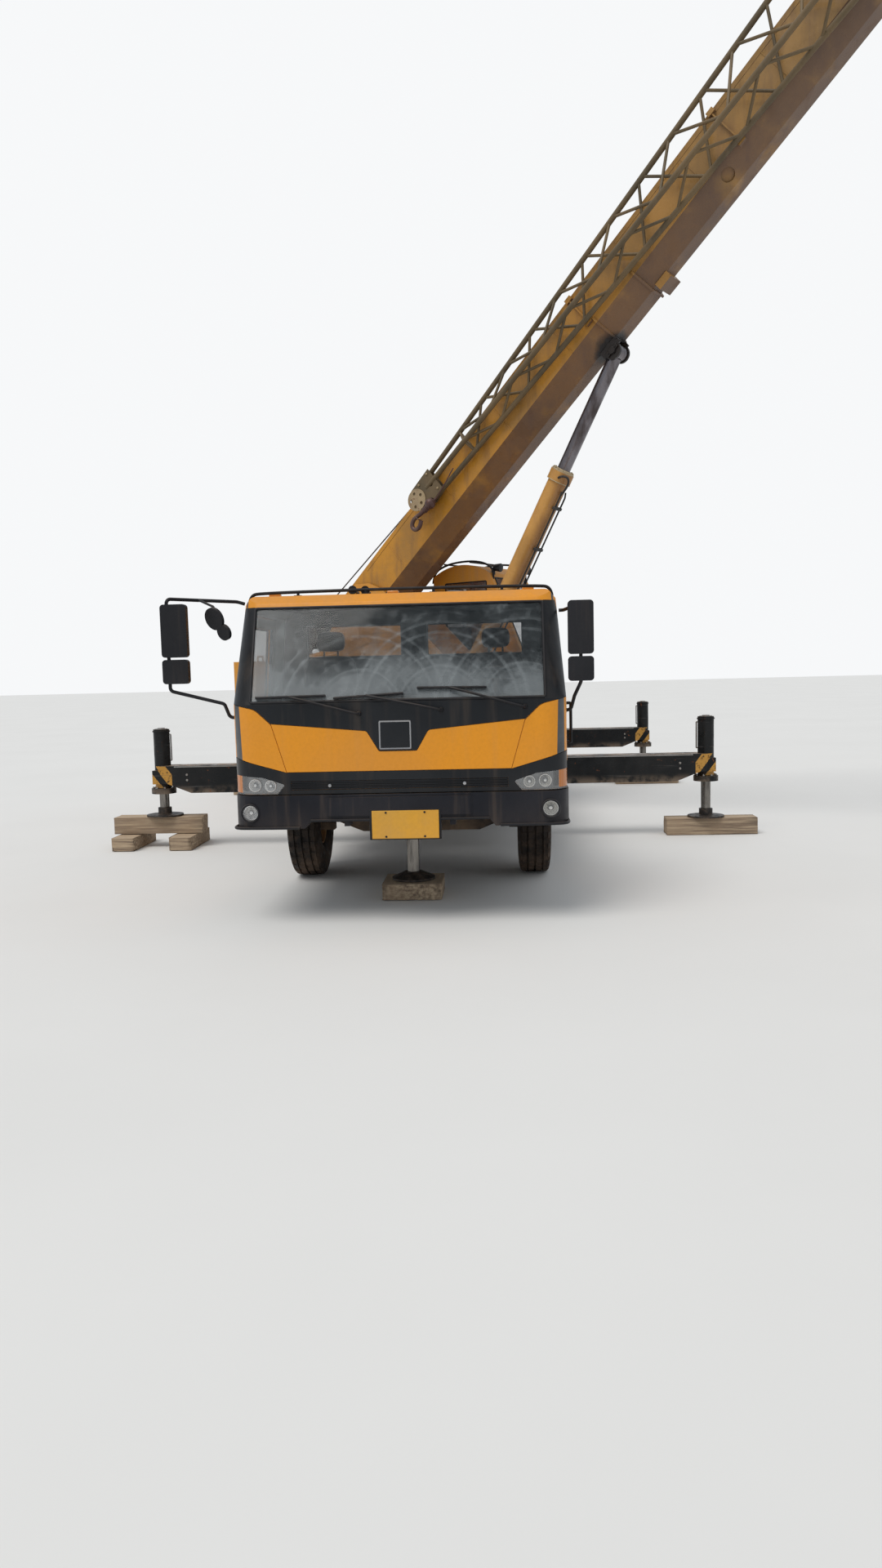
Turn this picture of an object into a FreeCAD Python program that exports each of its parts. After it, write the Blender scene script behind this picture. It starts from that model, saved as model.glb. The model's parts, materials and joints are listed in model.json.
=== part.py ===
"""A three-axle hydraulic truck crane, parked on its outriggers with the boom raised.

Millimetres and degrees. X points to the front of the truck, Y to its left and Z up.
The origin is where the slewing axis meets the ground.
"""
import FreeCAD, Part
import math
import os
import re

import Sketcher
from FreeCAD import Placement, Rotation, Vector

# The driving sizes, each with its own name.
SIZES = (
    # Whole truck
    ("truck_width", 2500),
    ("truck_rear_x", -3150),
        ("plate", 30),
    ("fit_gap", 0.3),
    ("pin_gap", 0.05),
    ("run_gap", 8),
    # Axles and wheels
    ("front_axle_x", 4780),
    ("middle_axle_x", 450),
    ("rear_axle_x", -900),
    ("front_track", 2074),
    ("rear_track", 1834),
    ("twin_spacing", 330),
    ("tyre_radius", 545),
    ("tyre_width", 293),
    ("tyre_flats", 36),
    ("rim_radius", 254),
    ("rim_width", 216),
    ("hub_radius", 140),
    ("kingpin_y", 860),
    ("kingpin_radius", 26),
    ("stub_radius", 55),
    ("axle_beam_tall", 110),
    ("axle_beam_z", 400),
    ("bogie_tube_radius", 75),
    ("spring_y", 420),
    # Chassis
    ("frame_half", 500),
    ("frame_bottom_z", 620),
    ("frame_top_z", 1180),
    ("rail_half", 430),
    ("rail_wide", 80),
    ("rail_front_x", 6350),
    ("rail_rear_x", 3700),
    ("rail_bottom_z", 720),
    ("rail_top_z", 1010),
    ("deck_front_x", 4020),
    ("deck_lip", 110),
    ("seat_radius", 640),
    ("seat_top_z", 1250),
    ("fender_radius", 700),
    ("fender_inner_y", 560),
    # Outriggers
    ("front_outrigger_x", 2800),
    ("rear_outrigger_x", -2650),
    ("outrigger_reach", 3000),
    ("box_half_width", 1040),
    ("outrigger_stroke", 1860),
    ("beam_wide", 250),
    ("beam_tall", 300),
    ("beam_top_z", 898),
    ("beam_inner_y", 750),
    ("beam_gap", 6),
    ("box_wall", 20),
    ("jack_tube_radius", 88),
    ("jack_tube_top_z", 1300),
    ("jack_rod_radius", 52),
    ("float_radius", 200),
    ("jack_flange_radius", 134),
    ("timber_tall", 190),
    ("timber_wide", 250),
    ("timber_long", 1000),
    ("timber_shift", 50),
    ("sleeper_tall", 150),
    ("front_timber_tall", 140),
    ("front_jack_x", 5830),
    # Driver's cab
    ("cab_rear_x", 5080),
    ("cab_front_x", 6930),
    ("cab_sill_z", 985),
    ("cab_floor_z", 1215),
    ("cab_waist_z", 1650),
    ("cab_roof_z", 2463),
    ("cab_roof_half", 1180),
    ("cab_side_half", 1240),
    ("cab_wall", 45),
    ("panel_thick", 12),
    ("panel_seam", 4),
    ("seat_y", 720),
    ("screen_top_x", 6560),
    ("cab_corner_bend", 200),
    ("door_rear_x", 5530),
    ("door_front_x", 6430),
    ("door_bottom_z", 1020),
    ("door_top_z", 2330),
    ("glass_thick", 6),
    ("bumper_bottom_z", 731),
    ("bumper_top_z", 978),
    ("bumper_deep", 160),
    # Superstructure
    ("heading", 57.0),
    ("luff", 41.7),
    ("turn_base_z", 1330),
    ("cheek_inner_y", 330),
    ("cheek_thick", 30),
    ("boom_foot_x", -1100),
    ("boom_foot_z", 2930),
    ("foot_pin_radius", 65),
    ("luff_foot_x", 408),
    ("luff_foot_z", 1788),
    ("luff_pin_radius", 50),
    ("tail_x", -2700),
    ("counterweight_front_x", -2480),
    ("counterweight_rear_x", -3060),
    ("counterweight_half", 1180),
    ("counterweight_bottom_z", 1420),
    ("counterweight_top_z", 2060),
    ("winch_x", -2330),
    ("winch_z", 2420),
    ("drum_radius", 170),
    ("flange_radius", 260),
    ("crane_cab_rear_x", -520),
    ("crane_cab_front_x", 980),
    ("crane_cab_rake", 500),
    ("crane_cab_inner_y", 430),
    ("crane_cab_outer_y", 1330),
    ("crane_cab_floor_z", 1400),
    ("crane_cab_roof_z", 3290),
    # Boom
    ("boom_half", 294),
    ("boom_top", 265),
    ("boom_bottom", -430),
    ("boom_bevel_y", 189),
    ("boom_bevel_z", 200),
    ("boom_tail", -330),
    ("saddle_thick", 16),
    ("saddle_top", -150),
    ("hatch_s", 6600),
    ("hatch_radius", 75),
    ("boom_base_end", 9300),
    ("boom_wall", 14),
    ("boom_nest", 30),
    ("boom_head_step", 240),
    ("section_tail", 400),
    ("luff_eye_s", 4510),
    ("luff_eye_n", -524),
    ("barrel_radius", 128),
    ("barrel_length", 2870),
    ("luff_rod_radius", 82),
    ("luff_rod_length", 2830),
    ("lug_gap", 8),
    ("lug_thick", 30),
    ("open_pin_gap", 12),
    ("eye_radius", 72),
    ("eye_half", 86),
    ("sheave_radius", 150),
    ("head_sheave_s", 260),
    ("head_sheave_n", -485),
    ("hook_drop", 1250),
    # Stowed jib
    ("jib_tip_s", 1750),
    ("jib_base_s", 9450),
    ("jib_gap", 46),
    ("jib_head_long", 800),
    ("jib_tip_upper", 289),
    ("jib_base_upper", 505),
    ("jib_tip_lower", 9),
    ("jib_base_lower", -391),
    ("jib_tip_outer", 165),
    ("jib_base_outer", -250),
    ("jib_tip_deep", 60),
    ("jib_base_deep", 380),
    ("chord_radius", 32),
    ("brace_radius", 17),
    ("jib_sheave_radius", 120),
)


def typed(value):
    return repr(value)


doc = FreeCAD.newDocument("mobile_crane")
sheet = doc.addObject("Spreadsheet::Sheet", "Sizes")
for row, (word, value) in enumerate(SIZES, 1):
    sheet.set("A%d" % row, word)
    sheet.set("B%d" % row, typed(value))
    sheet.setAlias("B%d" % row, word)
doc.recompute()


class Named:
    """The sheet's values by name, for places that a plain expression can't give."""

    def __getattr__(self, word):
        return float(sheet.get(word))


s = Named()
WORDS = {word for word, value in SIZES}
NODES = []


def bound(text):
    """An expression on the sheet's names, as the document writes it."""
    return re.sub(r"[a-z][a-z0-9_]*", lambda m: "Sizes." + m.group(0) if m.group(0) in WORDS else m.group(0), text)


def bind(obj, **sizes):
    for prop, text in sizes.items():
        obj.setExpression(prop, bound(text))


def move(obj, x="0", y="0", z="0"):
    for axis, text in (("x", x), ("y", y), ("z", z)):
        if text != "0":
            obj.setExpression("Placement.Base." + axis, bound(text))


def box(name, size, at):
    """A block from its lowest corner."""
    obj = doc.addObject("Part::Box", name)
    bind(obj, Length=size[0], Width=size[1], Height=size[2])
    move(obj, *at)
    return obj


TURN = {
    "x": Rotation(Vector(0, 1, 0), 90),
    "y": Rotation(Vector(1, 0, 0), -90),
    "z": Rotation(),
}


def rod(name, radius, length, at, along="z"):
    """A cylinder that starts at a point and runs along an axis."""
    obj = doc.addObject("Part::Cylinder", name)
    obj.Placement = Placement(Vector(), TURN[along])
    bind(obj, Radius=radius, Height=length)
    move(obj, *at)
    return obj


def sketch(body, name, plane, points):
    """A closed outline whose corners are bound to the sheet."""
    outline = body.newObject("Sketcher::SketchObject", name)
    support = [f for f in body.Origin.OriginFeatures if f.Role == plane + "_Plane"][0]
    outline.AttachmentSupport = [(support, "")]
    outline.MapMode = "FlatFace"
    count = len(points)
    start = [Vector(1000 * math.cos(2 * math.pi * i / count), 1000 * math.sin(2 * math.pi * i / count), 0)
             for i in range(count)]
    for i in range(count):
        outline.addGeometry(Part.LineSegment(start[i], start[(i + 1) % count]))
    for i in range(count):
        outline.addConstraint(Sketcher.Constraint("Coincident", i, 2, (i + 1) % count, 1))
    for i, (across, up) in enumerate(points):
        for kind, text, axis in (("DistanceX", across, -2), ("DistanceY", up, -1)):
            if text == "0":
                outline.addConstraint(Sketcher.Constraint("PointOnObject", i, 1, axis))
                continue
            index = outline.addConstraint(Sketcher.Constraint(kind, -1, 1, i, 1, 10.0))
            label = "corner%d%s" % (i, kind[-1].lower())
            outline.renameConstraint(index, label)
            outline.setExpression("Constraints." + label, bound(text))
    return outline


def slab(name, plane, points, start, thick):
    """An outline in a plane, padded from a place along the plane's axis."""
    body = doc.addObject("PartDesign::Body", name)
    outline = sketch(body, name + "_outline", plane, points)
    pad = body.newObject("PartDesign::Pad", name + "_pad")
    pad.Profile = outline
    bind(pad, Length=thick)
    outline.Visibility = False
    if plane == "XZ":
        move(body, y="%s + %s" % (start, thick))
    elif plane == "YZ":
        move(body, x=start)
    else:
        move(body, z=start)
    return body


def turned(name, points, at, along="y"):
    """An outline of radius and place, revolved about its own axis."""
    body = doc.addObject("PartDesign::Body", name)
    outline = sketch(body, name + "_outline", "XZ", points)
    spin = body.newObject("PartDesign::Revolution", name + "_turn")
    spin.Profile = outline
    spin.ReferenceAxis = (outline, ["V_Axis"])
    spin.Angle = 360
    outline.Visibility = False
    body.Placement = Placement(Vector(), TURN[along])
    move(body, *at)
    return body


def joined(name, *pieces):
    obj = doc.addObject("Part::MultiFuse", name)
    obj.Shapes = list(pieces)
    obj.Refine = True
    return obj


def group(name, *pieces):
    obj = doc.addObject("Part::Compound", name)
    obj.Links = list(pieces)
    return obj


def minus(name, base, *tools):
    obj = doc.addObject("Part::Cut", name)
    obj.Base = base
    obj.Tool = tools[0] if len(tools) == 1 else joined(name + "_tools", *tools)
    obj.Refine = True
    return obj


def mirrored(name, source):
    """The same piece on the other side of the truck."""
    obj = doc.addObject("Part::Mirroring", name)
    obj.Source = source
    obj.Normal = Vector(0, 1, 0)
    return obj


def shaped(name, shape):
    """A piece whose form comes from Part's own functions."""
    obj = doc.addObject("Part::Feature", name)
    obj.Shape = shape
    return obj


def node(label, piece, placement=None):
    """Marks a piece as a finished sub-part and puts it in its place."""
    if placement is not None:
        piece = group(label, piece)
        piece.Placement = placement
    piece.Label = label
    NODES.append(piece)
    return piece


def rounding(before, corner, after, bend):
    """The start, middle and end of the arc that rounds a corner."""
    way_in, way_out = (corner - before).normalize(), (after - corner).normalize()
    half = way_in.getAngle(way_out) / 2
    setback = bend * math.tan(half)
    inward = (way_out - way_in).normalize()
    return corner - way_in * setback, corner + inward * (bend / math.cos(half) - bend), corner + way_out * setback


def outline(rows):
    """A closed wire through rows of a corner and the radius that rounds it."""
    ends = []
    for i, (corner, bend) in enumerate(rows):
        if bend:
            ends.append(rounding(rows[i - 1][0], corner, rows[(i + 1) % len(rows)][0], bend))
        else:
            ends.append((corner, None, corner))
    edges = []
    for (start, middle, end), (following, _, _) in zip(ends, ends[1:] + ends[:1]):
        if middle is not None:
            edges.append(Part.Arc(start, middle, end).toShape())
        edges.append(Part.LineSegment(end, following).toShape())
    return Part.Wire(edges)


def prism(plane, rows, low, high):
    """An outline in a plane, carried straight from one depth to another. A row is across, up and radius."""
    place = {"XZ": lambda a, b: Vector(a, low, b), "YZ": lambda a, b: Vector(low, a, b),
             "XY": lambda a, b: Vector(a, b, low)}[plane]
    way = {"XZ": Vector(0, 1, 0), "YZ": Vector(1, 0, 0), "XY": Vector(0, 0, 1)}[plane]
    return Part.Face(outline([(place(a, b), bend) for a, b, bend in rows])).extrude(way * (high - low))


def flipped(shape):
    """The same shape on the other side of the truck's middle."""
    return shape.mirror(Vector(), Vector(0, 1, 0))


def pipe(points, radius, bend):
    """A round tube along straight runs with a bend at each corner."""
    edges, last = [], points[0]
    for before, corner, after in zip(points, points[1:], points[2:]):
        start, middle, end = rounding(before, corner, after, bend)
        edges += [Part.LineSegment(last, start).toShape(), Part.Arc(start, middle, end).toShape()]
        last = end
    edges.append(Part.LineSegment(last, points[-1]).toShape())
    ring = Part.Wire(Part.Circle(points[0], points[1] - points[0], radius).toShape())
    return Part.Wire(edges).makePipeShell([ring], True, True)


# The moving frames: the superstructure turns about Z and the boom lifts about its foot pin.
def slewed(x=0.0, z=0.0, lift=0.0):
    turn = Placement(Vector(), Rotation(Vector(0, 0, 1), s.heading))
    raise_up = Placement(Vector(x, 0, z), Rotation(Vector(0, 1, 0), -lift))
    return turn.multiply(raise_up)


HOUSE = slewed()
BOOM = slewed(s.boom_foot_x, s.boom_foot_z, s.luff)
EYE = BOOM.multVec(Vector(s.luff_eye_s, 0, s.luff_eye_n))
LUFF_FOOT = HOUSE.multVec(Vector(s.luff_foot_x, 0, s.luff_foot_z))
CYLINDER_REACH = (EYE - LUFF_FOOT).Length
CYLINDER_LIFT = math.degrees(math.asin((EYE.z - LUFF_FOOT.z) / CYLINDER_REACH))
CYLINDER = slewed(s.luff_foot_x, s.luff_foot_z, CYLINDER_LIFT)


OUTRIGGERS = (
    # name, end, side, sign of Y, side of the box's middle on which its beam runs
    ("front_left", "front", "", "-"),
    ("front_right", "front", "-", "+"),
    ("rear_left", "rear", "", "-"),
    ("rear_right", "rear", "-", "+"),
)


# Chassis: a welded box girder, two front rails and the cross boxes of the outriggers.
def chassis():
    girder = box("girder", ("rail_rear_x - truck_rear_x", "2 * frame_half", "frame_top_z - frame_bottom_z"),
                 ("truck_rear_x", "-frame_half", "frame_bottom_z"))
    rail = box("rail", ("rail_front_x - rail_rear_x", "rail_wide", "rail_top_z - rail_bottom_z"),
               ("rail_rear_x", "rail_half - rail_wide", "rail_bottom_z"))
    seat = rod("slewing_seat", "seat_radius", "seat_top_z - frame_top_z + 10", ("0", "0", "frame_top_z - 10"))
    front_cross = box("front_cross_member", ("120", "2 * rail_half", "rail_top_z - rail_bottom_z"),
                      ("rail_front_x - 120", "-rail_half", "rail_bottom_z"))
    jack_cross = box("front_jack_carrier", ("260", "2 * rail_half - 10", "240"),
                     ("front_jack_x - 130", "5 - rail_half", "rail_bottom_z + 20"))
    rear_cross = box("rear_cross_member", ("60", "2 * box_half_width", "190"),
                     ("truck_rear_x", "-box_half_width", "frame_top_z - 200"))
    solids = [girder, rail, mirrored("rail_right", rail), seat, front_cross, jack_cross, rear_cross]
    for i, x in enumerate(("cab_rear_x + 240", "rail_front_x - 200")):
        mount = box("cab_mount_%d" % i, ("120", "rail_wide", "cab_floor_z - 30 - fit_gap - rail_top_z"),
                    (x, "rail_half - rail_wide", "rail_top_z"))
        solids += [mount, mirrored("cab_mount_right_%d" % i, mount)]
    tunnels = []
    for end in ("front", "rear"):
        centre = end + "_outrigger_x"
        half = "(beam_wide + 2 * beam_gap + 1.5 * box_wall)"
        solids.append(box(end + "_box", ("2 * " + half, "2 * box_half_width",
                                         "beam_tall + 2 * beam_gap + 2 * box_wall"),
                          (centre + " - " + half, "-box_half_width",
                           "beam_top_z - beam_tall - beam_gap - box_wall")))
        for side, sign in (("left", "-"), ("right", "+")):
            rear = "%s %s (beam_wide / 2 + beam_gap + box_wall / 2) - beam_wide / 2 - beam_gap" % (centre, sign)
            tunnels.append(box("%s_%s_tunnel" % (end, side),
                               ("beam_wide + 2 * beam_gap", "2 * box_half_width + 40",
                                "beam_tall + 2 * fit_gap"),
                               (rear, "-box_half_width - 20", "beam_top_z - beam_tall - fit_gap")))
            # Room in the tunnel's mouth for the jack's flange, when the beam is pushed home
            mouth = "box_half_width - 60" if side == "left" else "-box_half_width - 60"
            tunnels.append(box("%s_%s_mouth" % (end, side), ("beam_wide + 2 * beam_gap", "120", "60"),
                               (rear, mouth, "beam_top_z - beam_tall - 16")))
    tunnels.append(rod("front_jack_bore", "jack_rod_radius + fit_gap", "400", ("front_jack_x", "0", "rail_bottom_z - 60")))
    node("chassis_frame", minus("chassis_cut", joined("chassis_solids", *solids), *tunnels))


def deck():
    """Chequered deck plates with a folded lip, and the round arches over the front wheels."""
    plate = box("deck_plate", ("deck_front_x - truck_rear_x", "truck_width", "plate"),
                ("truck_rear_x", "-truck_width / 2", "frame_top_z + fit_gap"))
    lip = box("deck_lip_left", ("deck_front_x - truck_rear_x", "plate", "deck_lip"),
              ("truck_rear_x", "truck_width / 2 - plate", "frame_top_z + fit_gap + plate - deck_lip"))
    arch_outer = rod("arch_outer", "fender_radius + plate / 2", "truck_width / 2 - fender_inner_y",
                     ("front_axle_x", "fender_inner_y", "tyre_radius"), "y")
    arch_inner = rod("arch_inner", "fender_radius", "truck_width", ("front_axle_x", "0", "tyre_radius"), "y")
    arch_below = box("arch_below", ("4 * fender_radius", "truck_width", "2 * tyre_radius"),
                     ("front_axle_x - 2 * fender_radius", "0", "frame_bottom_z + 160 - 2 * tyre_radius"))
    arch = minus("arch_left", arch_outer, arch_inner, arch_below)
    bridge = box("deck_bridge", ("front_axle_x - deck_front_x", "truck_width", "plate / 2"),
                 ("deck_front_x", "-truck_width / 2", "tyre_radius + fender_radius"))
    riser = box("deck_riser", ("plate", "truck_width", "tyre_radius + fender_radius + plate / 2 - frame_top_z - fit_gap"),
                ("deck_front_x - plate / 2", "-truck_width / 2", "frame_top_z + fit_gap"))
    solids = joined("deck_solids", plate, lip, mirrored("deck_lip_right", lip), bridge, riser,
                    arch, mirrored("arch_right", arch))
    hole = rod("deck_hole", "seat_radius + run_gap", "400", ("0", "0", "frame_top_z - 100"))
    well = box("engine_well", ("900", "2 * 360", "600"), ("4090", "-360", "frame_top_z - 100"))
    notches = []
    for name, end, sign, lane in OUTRIGGERS:
        x = "%s_outrigger_x %s (beam_wide / 2 + beam_gap + box_wall / 2)" % (end, lane)
        reach = "outrigger_reach - outrigger_stroke - jack_tube_radius - 30"
        notches.append(box("deck_notch_" + name, ("2 * jack_tube_radius + 70", "400", "400"),
                           (x + " - jack_tube_radius - 35",
                            reach if sign == "" else "-(%s) - 400" % reach, "frame_top_z - 200")))
    node("deck_plates", minus("deck_cut", solids, hole, well, *notches))


def running_gear():
    """Front axle beam, the two driving axles with their springs, and the engine."""
    beam = slab("front_beam_form", "YZ", (
        ("-kingpin_y - 42", "axle_beam_z + 90"), ("-kingpin_y - 42", "axle_beam_z + 200"),
        ("-kingpin_y + 60", "axle_beam_z + 200"), ("-spring_y - 120", "axle_beam_z + axle_beam_tall"),
        ("spring_y + 120", "axle_beam_z + axle_beam_tall"), ("kingpin_y - 60", "axle_beam_z + 200"),
        ("kingpin_y + 42", "axle_beam_z + 200"), ("kingpin_y + 42", "axle_beam_z + 90"),
        ("kingpin_y - 100", "axle_beam_z + 90"), ("spring_y + 120", "axle_beam_z"),
        ("-spring_y - 120", "axle_beam_z"), ("-kingpin_y + 100", "axle_beam_z + 90")),
        "front_axle_x - 50", "100")
    spring = slab("front_spring_form", "XZ", (
        ("front_axle_x - 700", "rail_bottom_z"), ("front_axle_x - 700", "rail_bottom_z - 60"),
        ("front_axle_x - 100", "axle_beam_z + axle_beam_tall + fit_gap"),
        ("front_axle_x + 100", "axle_beam_z + axle_beam_tall + fit_gap"),
        ("front_axle_x + 700", "rail_bottom_z - 60"), ("front_axle_x + 700", "rail_bottom_z"),
        ("front_axle_x + 300", "rail_bottom_z - 80"), ("front_axle_x - 300", "rail_bottom_z - 80")),
        "spring_y - 35", "70")
    pins = [rod("kingpin_" + side, "kingpin_radius", "300", ("front_axle_x", sign + "kingpin_y", "axle_beam_z + 15"))
            for side, sign in (("left", ""), ("right", "-"))]
    front = joined("front_axle_solids", beam, *pins)
    node("front_axle", group("front_axle_group", front, spring, mirrored("front_spring_right", spring)))
    axles = []
    for name in ("middle", "rear"):
        centre = name + "_axle_x"
        tube = rod(name + "_tube", "bogie_tube_radius", "rear_track + twin_spacing - 100",
                   (centre, "-(rear_track + twin_spacing - 100) / 2", "tyre_radius"), "y")
        bowl = doc.addObject("Part::Sphere", name + "_bowl")
        bind(bowl, Radius="190")
        move(bowl, centre, "0", "tyre_radius - 130")
        axles += [tube, bowl]
    balance = slab("balance_form", "XZ", (
        ("rear_axle_x - 60", "tyre_radius - 60"), ("rear_axle_x - 60", "tyre_radius + 70"),
        ("(middle_axle_x + rear_axle_x) / 2 - 120", "frame_bottom_z - fit_gap"),
        ("(middle_axle_x + rear_axle_x) / 2 + 120", "frame_bottom_z - fit_gap"),
        ("middle_axle_x + 60", "tyre_radius + 70"), ("middle_axle_x + 60", "tyre_radius - 60")),
        "spring_y - 50", "100")
    node("rear_bogie", joined("bogie_solids", *(axles + [balance, mirrored("balance_right", balance)])))
    engine = box("engine_form", ("860", "2 * (rail_half - rail_wide - fit_gap)", "560"),
                 ("4110", "-(rail_half - rail_wide) + fit_gap", "frame_bottom_z"))
    node("engine_block", engine)


def side_boxes():
    """Fuel tank, tool boxes and battery box between the axles, each hung from the deck's edge."""
    top = "frame_top_z"
    rows = (
        # name, rear x, length, tall, side
        ("fuel_tank", 1250, 1000, 520, "-"),
        ("tool_box_left", 1250, 1000, 430, "+"),
        ("battery_box", 3280, 640, 420, "+"),
        ("step_box", 3280, 640, 420, "-"),
    )
    pieces = []
    for name, rear, length, tall, side in rows:
        inner = "frame_half + 20" if side == "+" else "-truck_width / 2 + plate + 10"
        pieces.append(box(name, (str(length), "truck_width / 2 - plate - frame_half - 30", str(tall)),
                          (str(rear), inner, top + " - %d" % tall)))
    node("side_boxes", group("side_boxes_group", *pieces))


def front_bumper():
    """A steel bumper that wraps round the corners, cut higher between the wheels."""
    front, half, deep = s.cab_front_x, s.truck_width / 2, s.bumper_deep
    rear = s.front_axle_x + s.fender_radius + 60
    low, high = s.bumper_bottom_z, s.bumper_top_z
    whole = prism("XY", ((rear, -half, 0), (front, -half, 230), (front, half, 230), (rear, half, 0)), low, high)
    hollow = prism("XY", ((rear - 50, 60 - half, 0), (front - deep, 60 - half, 200), (front - deep, half - 60, 200),
                          (rear - 50, half - 60, 0)), low - 10, high + 10)
    raised = prism("YZ", ((-720, low - 20, 0), (-660, low + 54, 20), (660, low + 54, 20), (720, low - 20, 0)),
                   rear, front + 10)
    shelf = prism("XY", ((front - 12, -560, 0), (front + 14, -520, 6), (front + 14, 520, 6), (front - 12, 560, 0)),
                  low + 90, high - 20)
    shape = whole.cut(hollow).cut(raised).fuse(shelf)
    for y in (-1108, 1108):
        shape = shape.cut(Part.makeCylinder(64, 90, Vector(front - 80, y, 850), Vector(1, 0, 0)))
    arm = block(s.rail_front_x, front - deep, s.rail_half - s.rail_wide, s.rail_half, low + 80, high - 20)
    hook = block(front - deep, front - 4, s.rail_half - 60, s.rail_half - 20, low + 12, low + 70)
    shape = shape.multiFuse([arm, flipped(arm), hook, flipped(hook)])
    node("front_bumper", shaped("front_bumper_form", shape.removeSplitter()))


def cab_form(inset):
    """The cab's outer form moved inward by a distance: lofted between three rounded plans, under a rounded roof."""
    rear, roof = s.cab_rear_x + inset, s.cab_roof_z - inset
    sill = s.cab_sill_z if inset < s.cab_wall else s.cab_floor_z

    def plan(z, front, half, bend):
        front, half, bend = front - inset, half - inset, bend - inset
        corners = ((rear, -half, 0), (front, -half, bend), (front, half, bend), (rear, half, 0))
        return outline([(Vector(x, y, z), radius) for x, y, radius in corners])

    slope = (s.cab_side_half - s.cab_roof_half) / (s.cab_roof_z - s.cab_waist_z)
    top_half = s.cab_roof_half - 40 * slope
    low = plan(sill, s.cab_front_x - 15, s.cab_side_half, s.cab_corner_bend)
    waist = plan(s.cab_waist_z, s.cab_front_x, s.cab_side_half, s.cab_corner_bend)
    rake = (s.cab_front_x - s.screen_top_x) / (s.cab_roof_z - s.cab_waist_z)
    top = plan(s.cab_roof_z + 40, s.screen_top_x - 40 * rake, top_half, s.cab_corner_bend - 60)
    body = Part.makeLoft([low, waist], True, True).fuse(Part.makeLoft([waist, top], True, True))
    side = prism("XZ", ((rear, sill, 0), (s.cab_front_x + 60, sill, 0), (s.cab_front_x + 60, s.cab_waist_z, 0),
                        (s.screen_top_x + 26 - inset, roof - 58, 60), (s.screen_top_x - 60 - inset, roof, 60),
                        (rear, roof, 70)), -s.truck_width, s.truck_width)
    face = prism("YZ", ((-1400, sill, 0), (1400, sill, 0), (1400, roof - 78, 0), (s.cab_roof_half + 6 - inset, roof - 78, 60),
                        (s.cab_roof_half - 60 - inset, roof, 60), (60 + inset - s.cab_roof_half, roof, 60),
                        (inset - 6 - s.cab_roof_half, roof - 78, 60), (-1400, roof - 78, 0)), rear - 10, s.cab_front_x + 90)
    return body.common(side).common(face)


def block(x0, x1, y0, y1, z0, z1):
    return Part.makeBox(x1 - x0, y1 - y0, z1 - z0, Vector(x0, y0, z0))


# The front's panels in the front view: rows of across, up and corner radius, on the left half or both.
CENTRE_PANEL = ((-928, 1505, 0), (-228, 1440, 30), (-140, 1290, 20), (140, 1290, 20), (228, 1440, 30),
                (928, 1505, 0), (825, 1150, 0), (-825, 1150, 0))
CORNER_PANEL = ((1300, 1668, 0), (1050, 1612, 120), (932, 1500, 30), (829, 1148, 0), (1300, 1284, 0))
HEADLAMP = ((1300, 1136, 0), (1010, 1112, 0), (842, 1056, 12), (900, 988, 12), (1300, 988, 0))


def grown(rows, more):
    """The same outline moved outward from its middle by about a distance."""
    across = sum(row[0] for row in rows) / len(rows)
    up = sum(row[1] for row in rows) / len(rows)
    return [(a + math.copysign(more, a - across), b + math.copysign(more, b - up), bend) for a, b, bend in rows]


def cab_front():
    """The front's outer skin: yellow panels in a black surround, and the headlamps let into its corners."""
    front = s.cab_front_x
    skin = cab_form(0).cut(cab_form(s.panel_thick))
    ahead = block(front - 420, front + 50, -1300, 1300, s.cab_sill_z, s.cab_roof_z - 88)
    back = s.cab_corner_bend + 30
    ahead = ahead.common(prism("XZ", ((front - back, 900, 0), (front + 60, 900, 0), (front + 60, s.cab_roof_z, 0),
                                      (s.screen_top_x - back, s.cab_roof_z, 0), (front - back, s.cab_waist_z, 0)),
                               -1300, 1300))
    screen = block(6300, front + 50, -1084, 1084, s.cab_waist_z + 8, s.cab_roof_z + 10)
    seams, panels = [], []
    for rows, both in ((CENTRE_PANEL, False), (CORNER_PANEL, True)):
        pair = [prism("YZ", rows, front - 330, front + 50)]
        seam = [prism("YZ", grown(rows, s.panel_seam), front - 330, front + 50)]
        if both:
            pair.append(flipped(pair[0]))
            seam.append(flipped(seam[0]))
        else:
            shifts = ((0, s.panel_seam), (s.panel_seam, 0), (-s.panel_seam, 0))
            seam += [pair[0].translated(Vector(0, y, z)) for y, z in shifts]
        panels += [piece.common(skin).common(ahead) for piece in pair]
        seams += seam
    lamp = prism("YZ", HEADLAMP, front - 230, front + 50)
    seams += [lamp, flipped(lamp)]
    slot = block(front - 40, front + 50, -800, 800, 1016, 1082)
    trim = skin.common(ahead).cut(screen).cut(slot)
    for seam in seams:
        trim = trim.cut(seam)
    for i in range(5):
        z = 1022 + 12 * i
        trim = trim.fuse(block(front - 11.5 - s.panel_thick / 2, front - 11.5, -806, 806, z, z + 5))
    return skin.common(ahead).cut(screen), panels, trim


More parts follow.
